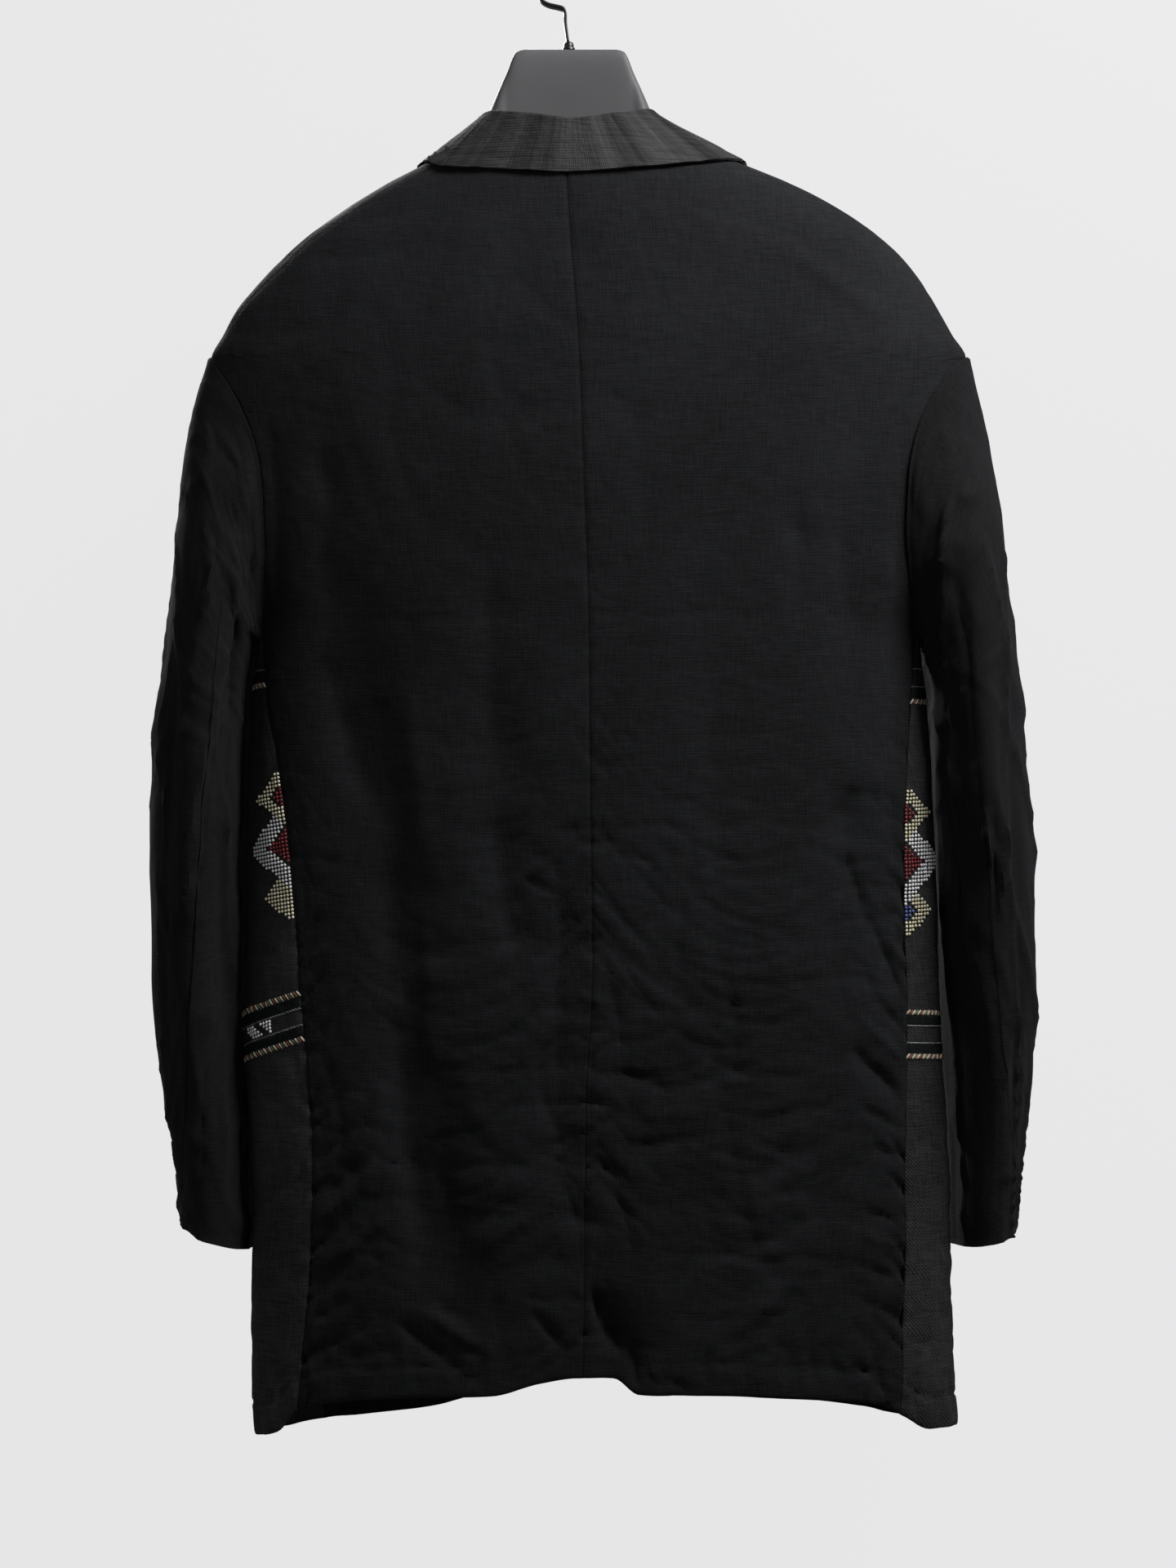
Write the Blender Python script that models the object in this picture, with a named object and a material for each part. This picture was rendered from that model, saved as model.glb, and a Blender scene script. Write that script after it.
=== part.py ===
"""A long linen jacket with woven side panels, hanging on a broad hanger.

Its back faces -Y, the wearer's right is +X, and the origin is where the hook bears on a rod.
The body is a stack of oval rings that runs from the neck to the hem. A turn of 0 degrees on a ring
is the centre back, 90 is the wearer's right side, 180 the centre front and -90 the left side.
Each panel is a wall between two seams of those rings, and each sleeve is a stack of rings that
starts on the armhole's own points.
"""

import math

import bmesh
import bpy
import numpy as np
from mathutils import Vector

MM = 0.001
WALL = 1.5 * MM
GAP = 0.3 * MM
NECK_Z = -134 * MM
SHOULDER_Z = -275 * MM
UNDERARM_Z = -462 * MM
HEM_Z = -980 * MM
UPPER_ROWS = 9
ARM_ROWS = 9
LOWER_ROWS = 13
BACK_COLUMNS = 11
SIDE_COLUMNS = 5
FRONT_COLUMNS = 9
LAP = 18 * MM
LAP_LIFT = 2.6 * MM
LAP_RAMP = 100 * MM
LAPEL_COLUMNS = 5
LAPEL_ROWS = 12
GORGE_Z = -184 * MM
RIGHT_LAPEL_END_Z = -440 * MM
BREAK_Z = -500 * MM
COLLAR_LIFT = 1.6 * MM
COLLAR_STEP = 10
ROLL_RADIUS = 3.2 * MM
SLEEVE_ROWS = 17
ELBOW_COLUMN = 6
FOREARM_COLUMN = 16
CUFF_BUTTON_RADIUS = 7.2 * MM
CUFF_BUTTON_ROWS = (0.905, 0.948)
CUFF_BUTTON_TURN = 14
FRONT_BUTTON_RADIUS = 10 * MM
FRONT_BUTTON_ZS = (-515 * MM, -640 * MM)
BUTTON_THICKNESS = 3 * MM
BUTTON_GAP = 0.5 * MM
HANGER_SIDES = 14
HANGER_ARM_DEPTH = 10 * MM
HANGER_ARM_HEIGHT = 24 * MM
HOOK_WIDTH = 9 * MM
HOOK_STRIP = 2 * MM
HOOK_RADIUS = 25 * MM
HOOK_START = 190
HOOK_END = -10
HOOK_STEP = 20
NUT_TOP_Z = -61 * MM
NUT_X = -1 * MM
NUT_FOOT = 4.2 * MM
NUT_HEAD = 2.8 * MM


def table(names, *rows):
    """A table with named columns: millimetres become metres, and degrees stay as they are."""
    plain = ("turn", "row", "angle", "power")
    return {
        name: np.array([row[i] for row in rows], float) * (1 if name in plain else MM)
        for i, name in enumerate(names.split())
    }


BODY = table(
    "z left right back front",
    (-134, -79, 95, 36, 36),
    (-142, -93, 110, 39, 39),
    (-148.5, -106, 127, 41, 42),
    (-159.5, -127, 154, 45, 46),
    (-176, -153.5, 184, 49, 50),
    (-192.5, -176.5, 208, 52, 53),
    (-209, -194.5, 225, 54, 55),
    (-225.5, -210.5, 237.5, 56, 57),
    (-242, -224, 247.5, 58, 59),
    (-258.5, -233, 257, 60, 61),
    (-275, -242, 267, 61, 63),
    (-310, -245, 269, 63, 65),
    (-362, -239, 262, 65, 68),
    (-415, -225, 249, 65, 69),
    (-462, -211, 236, 64, 69),
    (-505, -214, 239.5, 63, 69),
    (-571, -218.5, 244, 62, 69),
    (-651, -219.5, 248, 61, 69),
    (-722, -219.5, 250, 60, 68),
    (-793, -216.5, 254, 59, 67),
    (-869, -215, 257, 58, 66),
    (-935, -215.5, 259, 57, 65),
    (-1005, -212.5, 260, 56, 64),
)
CENTRE_SEAM = table(
    "z x",
    (-134, -3.5),
    (-198, 0.5),
    (-269, 6),
    (-369, 10),
    (-460, 13),
    (-530, 13.5),
    (-690, 15.5),
    (-796, 12),
    (-950, 10),
    (-1005, 10),
)
ARMHOLE = table(
    "z left right",
    (-275, -242, 267),
    (-281, -238, 258),
    (-297, -227.5, 245.5),
    (-312, -219.5, 237),
    (-331, -212, 230.5),
    (-352, -207, 227),
    (-385, -205, 225.5),
    (-415, -205.5, 228),
    (-440, -206, 231),
    (-462, -206.5, 231.8),
)
SIDE_SEAM = table(
    "z left right",
    (-462, -206.5, 231.8),
    (-499, -203, 228.5),
    (-545, -194.5, 225),
    (-599, -187, 222.5),
    (-650, -182, 222.5),
    (-700, -179.5, 224.5),
    (-769, -173.5, 223.5),
    (-820, -170.5, 223),
    (-859, -171.5, 223.5),
    (-910, -174.5, 222),
    (-948, -178, 221),
    (-1005, -182, 217),
)
HEM = table(
    "x back front",
    (-216, -999, -999),
    (-196, -993, -998),
    (-180, -976, -996),
    (-138, -968, -994),
    (-100, -965, -991),
    (-66, -964, -984),
    (-50, -963, -981),
    (-20, -955, -974),
    (5, -951, -971),
    (30, -952, -971),
    (46, -962, -973),
    (98, -963, -980),
    (172, -968, -986),
    (205, -972, -989),
    (222, -981, -992),
    (240, -991, -993),
    (262, -992, -993),
)
FRONT_SEAM = table("z turn", (-462, 104), (-520, 111), (-600, 117), (-800, 124), (-1005, 126))
ROLL_LINE = table(
    "z left right",
    (-134, -66, 82),
    (-176, -58, 74),
    (-230, -44, 62),
    (-300, -28, 47),
    (-380, -9, 30),
    (-450, 9, 15),
    (-500, 24, 2),
    (-540, 30, -6),
    (-1005, 30, -6),
)
LAPEL = table(
    "z width",
    (-184, 64),
    (-197, 88),
    (-212, 84),
    (-290, 62),
    (-380, 38),
    (-450, 18),
    (-500, 5),
)
# The largest folds of the body, each a soft trough, or a ridge where its depth is below zero.
BODY_FOLDS = table(
    "x1 z1 x2 z2 width depth side",
    (-150, -420, -112, -690, 26, 6, -1000),
    (-112, -690, -66, -940, 24, 7, -1000),
    (-52, -500, -34, -700, 24, 4, -1000),
    (196, -290, 188, -500, 18, 4, -1000),
    (184, -560, 178, -700, 20, 5, -1000),
    (120, -690, 60, -880, 26, 5, -1000),
    (30, -900, 26, -990, 15, 7, -1000),
    (-90, -420, -82, -980, 26, 5, 1000),
    (110, -400, 118, -980, 26, 5, 1000),
    (-150, -560, -140, -980, 22, -4, 1000),
    (172, -620, 176, -980, 22, -4, 1000),
)
SLEEVE_LEFT = table(
    "row outer_x outer_z inner_x inner_z mid depth bow turn_in",
    (0, -242, -275, -209, -462, 0, 31, 19, 0),
    (1, -250.5, -300, -213, -467, 1, 38, 15, 8),
    (2, -258, -335, -216, -476, 3, 46, 10, 18),
    (3, -263, -380, -218.5, -491, 6, 54, 6, 28),
    (4, -268, -430, -220, -515, 9, 62, 3, 36),
    (5, -274, -490, -221, -550, 12, 67, 1, 40),
    (6, -279, -555, -221.5, -593, 15, 69, 0, 42),
    (7, -281.5, -620, -222, -640, 18, 68, 0, 42),
    (8, -281.5, -687, -222, -695, 22, 66, 0, 42),
    (9, -276, -753, -221, -757, 27, 63, 0, 42),
    (10, -267, -812, -218.5, -822, 31, 61, 0, 42),
    (11, -262, -856, -217, -876, 34, 60, 0, 42),
)
SLEEVE_RIGHT = table(
    "row outer_x outer_z inner_x inner_z mid depth bow turn_in",
    (0, 267, -275, 234, -462, 0, 31, 19, 0),
    (1, 273.5, -300, 238.5, -467, 1, 38, 15, 8),
    (2, 282, -335, 242, -476, 3, 46, 10, 18),
    (3, 290, -380, 245, -491, 6, 54, 6, 28),
    (4, 294, -430, 247, -515, 9, 62, 3, 36),
    (5, 300, -490, 248.5, -550, 12, 67, 1, 40),
    (6, 306, -555, 250.5, -593, 15, 69, 0, 42),
    (7, 311, -620, 252, -640, 18, 68, 0, 42),
    (8, 312.5, -687, 254, -695, 22, 66, 0, 42),
    (9, 309, -753, 257, -757, 27, 63, 0, 42),
    (10, 304.5, -812, 260, -822, 31, 61, 0, 42),
    (11, 301, -862, 260, -873, 34, 60, 0, 42),
)
ELBOW_SEAM = table(
    "row angle",
    (0, 94),
    (3, 102),
    (5, 104),
    (7, 100),
    (8, 94),
    (9, 82),
    (10, 58),
    (11, 32),
)
FOREARM_SEAM = table("row angle", (0, 250), (3, 236), (6, 226), (11, 222))
# The largest folds of the sleeves: at an angle round the sleeve, between two of its rows.
SLEEVE_FOLDS = table(
    "angle row_from row_to spread depth",
    (128, 2000, 9000, 17, 6),
    (66, 4000, 10000, 15, 4),
    (300, 3000, 10000, 20, 5),
)
COLLAR = table(
    "turn edge_x edge_z roll_x roll_y roll_z",
    (-140, -110, -178, -55, 50, -166),
    (-125, -108, -170, -58, 41, -146),
    (-110, -105, -159, -61, 22, -123),
    (-90, -100, -144, -60, 2, -112),
    (-62, -84, -152, -52, -18, -111),
    (-36, -52, -155, -33, -30, -115),
    (0, -2, -158, 0, -35, -119),
    (36, 56, -154, 33, -30, -115),
    (62, 94, -148.5, 53, -18, -110.5),
    (90, 117, -144, 62, 2, -112),
    (110, 121, -159, 76, 22, -123),
    (125, 124, -170, 74, 41, -146),
    (140, 126, -178, 70.5, 51, -166),
)
# The hanger's sections: flat-sided across the neck plate, where the power is low, and oval in the arms.
HANGER_TOP = table(
    "x top bottom depth power",
    (0, -67, -160, 8, 0.4),
    (30, -67, -159, 8, 0.4),
    (36, -68.5, -158, 8, 0.4),
    (38.5, -72, -158, 8, 0.4),
    (42, -81, -158, 8, 0.42),
    (47, -92, -158, 9, 0.55),
    (52, -103, -158, 10, 0.85),
    (56, -113, -158, 11, 1),
    (61, -124, -159, 12, 1),
    (70, -134, -160, 14, 1),
)
HOOK_FOOT = table(
    "x z",
    (-1.6, -61),
    (-3, -50),
    (-3.3, -43),
    (-4.6, -39.5),
    (-8, -38.2),
    (-14, -36.8),
    (-18.5, -34.4),
    (-21.4, -30),
)
ARM_END_LEFT = 150 * MM
ARM_END_RIGHT = 168 * MM


def read(columns, name, at, along="z"):
    """A column's value at a place along another column, on a smooth curve that never leaves its rows."""
    places, values = columns[along], columns[name]
    if places[0] > places[-1]:
        places, values = places[::-1], values[::-1]
    at = min(max(at, places[0]), places[-1])
    i = min(max(int(np.searchsorted(places, at)) - 1, 0), len(places) - 2)
    span, rise = places[i + 1] - places[i], values[i + 1] - values[i]
    t = (at - places[i]) / span
    start, end = slope(places, values, i) * span, slope(places, values, i + 1) * span
    return values[i] + t * (start + t * (3 * rise - 2 * start - end + t * (start + end - 2 * rise)))


def slope(places, values, i):
    """The slope at a row: none at a peak, and otherwise between the slopes on its two sides."""
    rises = np.diff(values[max(i - 1, 0) : i + 2]) / np.diff(places[max(i - 1, 0) : i + 2])
    if len(rises) == 1:
        return rises[0]
    return 0 if rises[0] * rises[1] <= 0 else 2 * rises[0] * rises[1] / (rises[0] + rises[1])


def ease(t):
    """A soft step from 0 to 1."""
    t = min(max(t, 0), 1)
    return t * t * (3 - 2 * t)


def fold_depth(x, z, facing):
    """How far the body's cloth sinks at a place, from its table of folds. facing is -1 at the back."""
    depth = 0
    for k in range(len(BODY_FOLDS["x1"])):
        x1, z1, x2, z2, width, deep, side = (
            BODY_FOLDS[name][k] for name in "x1 z1 x2 z2 width depth side".split()
        )
        if side * facing < 0:
            continue
        along = (z - z1) / (z2 - z1)
        from_end = min(along, 1 - along)
        if from_end > -0.2:
            away = (x - x1 - (x2 - x1) * min(max(along, 0), 1)) / width
            depth += deep * math.exp(-away * away) * ease((from_end + 0.2) / 0.5)
    return depth


def ring(z):
    """The centre, half width, back depth and front depth of the body at a height."""
    left, right = read(BODY, "left", z), read(BODY, "right", z)
    return (left + right) / 2, (right - left) / 2, read(BODY, "back", z), read(BODY, "front", z)


def body_point(turn, z):
    """A point of the body's outer face at a turn in degrees and a height."""
    centre, wide, back, front = ring(z)
    s, c = math.sin(math.radians(turn)), math.cos(math.radians(turn))
    deep = back if c > 0 else front
    x, y = centre + wide * s, -deep * c
    normal = Vector((s * deep, -c * wide, 0)).normalized()
    sink = fold_depth(x, z, -1 if c > 0 else 1) * abs(c)
    return Vector((x, y, z)) - normal * sink


def body_normal(turn, z):
    """The direction out of the body's face."""
    step = 0.4
    near, far = body_point(turn - step, z), body_point(turn + step, z)
    low, high = body_point(turn, z - 2 * MM), body_point(turn, z + 2 * MM)
    return (far - near).cross(high - low).normalized()


def moved_out(turn, z, out):
    """A point of the body's face, moved out by a distance."""
    return body_point(turn, z) + body_normal(turn, z) * out


def turn_of(x, z, facing=-1):
    """The turn at which the ring at a height has this x, at the back or at the front."""
    centre, wide = ring(z)[:2]
    turn = math.degrees(math.asin(min(max((x - centre) / wide, -1), 1)))
    return turn if facing < 0 else math.copysign(180, x - centre) - turn


def hem_level(turn, z):
    """A level below the underarm, stretched to the hem's own height at this turn."""
    if z >= UNDERARM_Z:
        return z
    x = body_point(turn, HEM_Z).x
    face = "back" if math.cos(math.radians(turn)) > 0 else "front"
    share = (z - UNDERARM_Z) / (HEM_Z - UNDERARM_Z)
    return UNDERARM_Z + (read(HEM, face, x, "x") - UNDERARM_Z) * share


def upper_levels():
    """Heights from the neck to the shoulder point, closer together near the neck."""
    fall = SHOULDER_Z - NECK_Z
    return [NECK_Z + fall * (k / UPPER_ROWS) ** 1.15 for k in range(UPPER_ROWS)]


def arm_levels():
    """Heights from the shoulder point to the underarm, closer together at both ends."""
    fall = UNDERARM_Z - SHOULDER_Z
    return [SHOULDER_Z + fall * (1 - math.cos(math.pi * k / ARM_ROWS)) / 2 for k in range(ARM_ROWS + 1)]


def lower_levels():
    """Heights below the underarm, down to the hem's middle height."""
    return [UNDERARM_Z + (HEM_Z - UNDERARM_Z) * k / LOWER_ROWS for k in range(1, LOWER_ROWS + 1)]


def outer_turn(side, z, facing):
    """The turn of a body panel's outer edge: the shoulder, then the armhole, then the side seam."""
    name = "left" if side < 0 else "right"
    if z > SHOULDER_Z + 1e-6:
        return 90 * side
    if z >= UNDERARM_Z - 1e-6:
        turn = turn_of(read(ARMHOLE, name, z), z)
    elif facing < 0:
        turn = turn_of(read(SIDE_SEAM, name, z), z)
    else:
        return side * read(FRONT_SEAM, "turn", z)
    turn = side * 90 if z > SHOULDER_Z - 1e-6 else turn
    if facing < 0:
        return turn
    return side * (180 - abs(turn)) if z > UNDERARM_Z + 1e-6 else side * read(FRONT_SEAM, "turn", UNDERARM_Z)


def edge_in(turn_edge, turn_inside, z):
    """A seam's turn, moved half a gap into its own panel."""
    here, there = body_point(turn_edge, z), body_point(turn_inside, z)
    reach = (there - here).length
    return turn_edge + (turn_inside - turn_edge) * min(0.5 * GAP / max(reach, GAP), 0.5)


def body_grid(levels, first_turn, last_turn, columns, out=None):
    """The outer and inner points of a panel between two seams, each a function of the height."""
    outer, inner = [], []
    for level in levels:
        a, b = first_turn(level), last_turn(level)
        a, b = edge_in(a, b, level), edge_in(b, a, level)
        row, back = [], []
        for k in range(columns + 1):
            turn = a + (b - a) * k / columns
            z = hem_level(turn, level)
            lift = out(turn, z) if out else 0
            row.append(moved_out(turn, z, lift))
            back.append(moved_out(turn, z, lift - WALL))
        outer.append(row)
        inner.append(back)
    return outer, inner


def wall_mesh(name, outer, inner, material):
    """A closed wall between two grids of points of the same size."""
    rows, columns = len(outer), len(outer[0])
    mesh, bm = bpy.data.meshes.new(name), bmesh.new()
    faces = [[[bm.verts.new(p) for p in row] for row in grid] for grid in (outer, inner)]
    out, back = faces
    for i in range(rows - 1):
        for j in range(columns - 1):
            bm.faces.new((out[i][j], out[i + 1][j], out[i + 1][j + 1], out[i][j + 1]))
            bm.faces.new((back[i][j], back[i][j + 1], back[i + 1][j + 1], back[i + 1][j]))
    for i in range(rows - 1):
        bm.faces.new((out[i][0], back[i][0], back[i + 1][0], out[i + 1][0]))
        bm.faces.new((out[i][-1], out[i + 1][-1], back[i + 1][-1], back[i][-1]))
    for j in range(columns - 1):
        bm.faces.new((out[0][j], out[0][j + 1], back[0][j + 1], back[0][j]))
        bm.faces.new((out[-1][j], back[-1][j], back[-1][j + 1], out[-1][j + 1]))
    return finish(name, bm, mesh, material)


def finish(name, bm, mesh, material):
    """Faces out, smooth sides, and the object in the jacket's collection."""
    bmesh.ops.recalc_face_normals(bm, faces=bm.faces)
    bm.to_mesh(mesh)
    bm.free()
    mesh.shade_smooth()
    mesh.set_sharp_from_angle(angle=math.radians(40))
    return place(name, mesh, material)


def place(name, mesh, material):
    """An object for a mesh, with its material, in the jacket's collection."""
    mesh.materials.append(material)
    thing = bpy.data.objects.new(name, mesh)
    bpy.data.collections["embroidered_jacket"].objects.link(thing)
    return thing


def make_material(name, colour, roughness, metallic=0.0):
    """A plain finish."""
    material = bpy.data.materials.new(name)
    material.use_nodes = True
    shader = material.node_tree.nodes["Principled BSDF"]
    shader.inputs["Base Color"].default_value = (*colour, 1)
    shader.inputs["Roughness"].default_value = roughness
    shader.inputs["Metallic"].default_value = metallic
    return material


def make_backs(cloth):
    """The two halves of the back, from the neck to the hem."""
    levels = upper_levels() + arm_levels() + lower_levels()
    centre = lambda z: turn_of(read(CENTRE_SEAM, "x", z), z)
    for name, side in (("back_left", -1), ("back_right", 1)):
        edge = lambda z, side=side: outer_turn(side, z, -1)
        wall_mesh(name, *body_grid(levels, edge, centre, BACK_COLUMNS), cloth)


def make_side_panels(cloth):
    """The narrow panels under the arms, from the underarm to the hem."""
    levels = [UNDERARM_Z] + lower_levels()
    for name, side in (("side_panel_left", -1), ("side_panel_right", 1)):
        back = lambda z, side=side: outer_turn(side, z, -1)
        front = lambda z, side=side: side * read(FRONT_SEAM, "turn", z)
        wall_mesh(name, *body_grid(levels, back, front, SIDE_COLUMNS), cloth)


def lap_lift(turn, z):
    """How far the left front is raised where it laps over the right one."""
    centre = ring(z)[0]
    x = body_point(turn, z).x
    return LAP_LIFT * ease((x - centre + LAP + LAP_RAMP) / LAP_RAMP)


def front_turn(side, x, z):
    """The turn of an x on one of the fronts, counted on past the centre front."""
    centre, wide = ring(z)[:2]
    return side * 180 - math.degrees(math.asin(min(max((x - centre) / wide, -1), 1)))


def front_edge(side, z):
    """The turn of a front's inner edge: the roll line, then the edge that buttons."""
    return front_turn(side, read(ROLL_LINE, "left" if side < 0 else "right", z), z)


def make_fronts(cloth):
    """The fronts. The left one laps over the right one and is raised there."""
    levels = upper_levels() + arm_levels() + lower_levels()
    for name, side in (("front_left", -1), ("front_right", 1)):
        outside = lambda z, side=side: outer_turn(side, z, 1)
        inside = lambda z, side=side: front_edge(side, z)
        lift = lap_lift if side < 0 else None
        wall_mesh(name, *body_grid(levels, outside, inside, FRONT_COLUMNS, lift), cloth)


def make_lapels(cloth):
    """The lapels, turned back along the roll line onto the fronts."""
    on_front = WALL + GAP + 0.4 * MM
    for name, side, end in (("lapel_left", -1, BREAK_Z), ("lapel_right", 1, RIGHT_LAPEL_END_Z)):
        levels = [GORGE_Z + (end - GORGE_Z) * k / LAPEL_ROWS for k in range(LAPEL_ROWS + 1)]
        inside = lambda z, side=side: front_edge(side, z)

        def outside(z, side=side):
            x = body_point(front_edge(side, z), z).x + side * read(LAPEL, "width", z)
            return front_turn(side, x, z)

        def lift(turn, z, side=side):
            return on_front + (lap_lift(turn, z) if side < 0 else 0)

        wall_mesh(name, *body_grid(levels, outside, inside, LAPEL_COLUMNS, lift), cloth)


def grid_normals(grid, closed=False):
    """The direction out of a grid's face at each point, from its neighbours."""
    rows, columns, normals = len(grid), len(grid[0]), []
    for i in range(rows):
        line = []
        for j in range(columns):
            left = grid[i][j - 1] if closed or j else grid[i][j]
            right = grid[i][(j + 1) % columns] if closed or j < columns - 1 else grid[i][j]
            across = right - left
            down = grid[min(i + 1, rows - 1)][j] - grid[max(i - 1, 0)][j]
            line.append(down.cross(across).normalized())
        normals.append(line)
    return normals


def clear_of_body(point, facing, out):
    """A point, moved out of the body's face if it lies nearer to it than a distance."""
    if point.z > NECK_Z or abs(point.x - ring(point.z)[0]) >= ring(point.z)[1]:
        return point
    turn = turn_of(point.x, point.z, facing)
    normal = body_normal(turn, point.z)
    return point + normal * max(out - (point - body_point(turn, point.z)).dot(normal), 0)


def neckline(turn):
    """Where the collar's stand begins: on the neck's edge, then beside the front's inner edge."""
    side = math.copysign(1, turn)
    share = (abs(turn) - 90) / 50
    if share <= 0:
        return body_point(turn, NECK_Z) + Vector((0, 0, GAP))
    corner = abs(front_edge(side, NECK_Z))
    if share < 0.4:
        at = body_point(side * (90 + (corner - 90) * share / 0.4), NECK_Z)
        return at + Vector((0, 0, GAP)) - Vector((side * (WALL + 2 * GAP), 0, 0)) * share / 0.4
    z = NECK_Z + (GORGE_Z + 14 * MM - NECK_Z) * (share - 0.4) / 0.6
    return body_point(front_edge(side, z), z) - Vector((side * (WALL + 2 * GAP), 0, 0))


def collar_section(turn):
    """The collar's outer points at one turn: up its stand, over the roll and down its fall."""
    edge_x, edge_z = read(COLLAR, "edge_x", turn, "turn"), read(COLLAR, "edge_z", turn, "turn")
    roll = Vector([read(COLLAR, "roll_" + axis, turn, "turn") for axis in "xyz"])
    facing = -1 if abs(turn) < 90 else 1
    out = COLLAR_LIFT + WALL
    edge = moved_out(turn_of(edge_x, edge_z, facing), edge_z, out)
    base = neckline(turn)
    outward = edge - base
    outward.z = 0
    outward.normalize()
    crest = []
    for angle in (155, 90, 25):
        swing = math.radians(angle)
        lean = outward * math.cos(swing) + Vector((0, 0, math.sin(swing) - 1))
        crest.append(roll + lean * ROLL_RADIUS)
    fall = [clear_of_body(crest[-1].lerp(edge, share), facing, out) for share in (0.33, 0.67)]
    return [base, base.lerp(crest[0], 0.5)] + crest + fall + [edge]


def make_collar(cloth):
    """One folded strip round the neck, which rests on the shoulders."""
    outer = [collar_section(turn) for turn in range(-140, 141, COLLAR_STEP)]
    normals = grid_normals(outer)
    flip = -1 if normals[len(outer) // 2][-1].y > 0 else 1
    inner = []
    for row, line in zip(outer, normals):
        inner.append([point - normal * (flip * WALL) for point, normal in zip(row, line)])
    wall_mesh("collar", outer, inner, cloth)


def armhole_loop(side):
    """The armhole's points and their outward directions, from the shoulder down the back and up the front."""
    turns = []
    for z in arm_levels():
        turns.append((outer_turn(side, z, -1), z))
    a, b = outer_turn(side, UNDERARM_Z, -1), side * read(FRONT_SEAM, "turn", UNDERARM_Z)
    for k in range(1, SIDE_COLUMNS + 1):
        turns.append((a + (b - a) * k / SIDE_COLUMNS, UNDERARM_Z))
    for z in arm_levels()[-2:0:-1]:
        turns.append((outer_turn(side, z, 1), z))
    return [(body_point(*place_at), body_normal(*place_at)) for place_at in turns]


def sleeve_ring_point(columns, row, angle, side):
    """A point of the plain sleeve at a row and at an angle that starts on its outer line."""
    names = "outer_x outer_z inner_x inner_z mid depth bow turn_in".split()
    ox, oz, ix, iz, mid, depth, bow, turn_in = (read(columns, name, row, "row") for name in names)
    outer, inner = Vector((ox, mid, oz)), Vector((ix, mid, iz))
    s, c = math.sin(math.radians(angle)), math.cos(math.radians(angle))
    centre = (outer + inner) / 2
    point = centre + (outer - centre) * c + Vector((0, -depth * s, 0))
    point.x -= side * (bow * s * s + turn_in * max(-s, 0) ** 2)
    return point


def sleeve_fold(row, angle):
    """How far the sleeve's cloth sinks at a row and an angle."""
    sink = 0
    for k in range(len(SLEEVE_FOLDS["angle"])):
        at, start, end, spread, depth = (
            SLEEVE_FOLDS[name][k] for name in "angle row_from row_to spread depth".split()
        )
        away = ((angle - at + 180) % 360 - 180) / (spread / MM)
        sink += depth * math.exp(-away * away) * ease(row - start) * ease(end - row)
    return sink


def sleeve_angles(row, count):
    """The angle of each column at a row, so that the two seams are columns of their own."""
    elbow, forearm = read(ELBOW_SEAM, "angle", row, "row"), read(FOREARM_SEAM, "angle", row, "row")
    under = FOREARM_COLUMN - ELBOW_COLUMN
    top = count - under
    angles = {}
    for k in range(under + 1):
        angles[ELBOW_COLUMN + k] = elbow + (forearm - elbow) * k / under
    for k in range(top):
        angles[(FOREARM_COLUMN + k) % count] = (forearm + (360 + elbow - forearm) * k / top) % 360
    even = [360 * j / count for j in range(count)]
    share = ease(row / 3)
    turned = lambda j: even[j] + ((angles[j] - even[j] + 180) % 360 - 180) * share
    return [turned(j) for j in range(count)]


def sleeve_grids(side):
    """The outer and inner points of a whole sleeve."""
    columns = SLEEVE_LEFT if side < 0 else SLEEVE_RIGHT
    loop = armhole_loop(side)
    count, last = len(loop), columns["row"][-1]
    start = [sleeve_ring_point(columns, 0, 360 * j / count, side) for j in range(count)]
    outer = []
    for i in range(SLEEVE_ROWS + 1):
        row = last * (i / SLEEVE_ROWS) ** 1.12
        keep = ease(1 - row / 2.2)
        line = []
        for j, angle in enumerate(sleeve_angles(row, count)):
            point = sleeve_ring_point(columns, row, angle, side) + (loop[j][0] - start[j]) * keep
            line.append(point)
        centre = sum(line, Vector()) / count
        for j, angle in enumerate(sleeve_angles(row, count)):
            inward = (centre - line[j]).normalized()
            line[j] = line[j] + inward * sleeve_fold(row, angle)
        outer.append(line)
    normals = grid_normals(outer, closed=True)
    middle = len(outer) // 2
    flip = math.copysign(1, normals[middle][0].x * side)
    normals = [[normal * flip for normal in line] for line in normals]
    for j, (point, normal) in enumerate(loop):
        share = ease((abs(180 - 360 * j / count) - 40) / 50)
        normals[0][j] = normals[0][j].lerp(normal, share).normalized()
    for j in range(count):
        along = (outer[1][j] - outer[0][j]).normalized()
        outer[0][j] = outer[0][j] + along * GAP + Vector((side * 0.7 * GAP, 0, 0))
    inner = [[p - n * WALL for p, n in zip(row, line)] for row, line in zip(outer, normals)]
    return outer, inner


def narrowed(grid):
    """A grid whose first and last columns are drawn in by half a gap."""
    for row in grid:
        row[0] = row[0] + (row[1] - row[0]).normalized() * GAP / 2
        row[-1] = row[-1] + (row[-2] - row[-1]).normalized() * GAP / 2
    return grid


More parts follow.
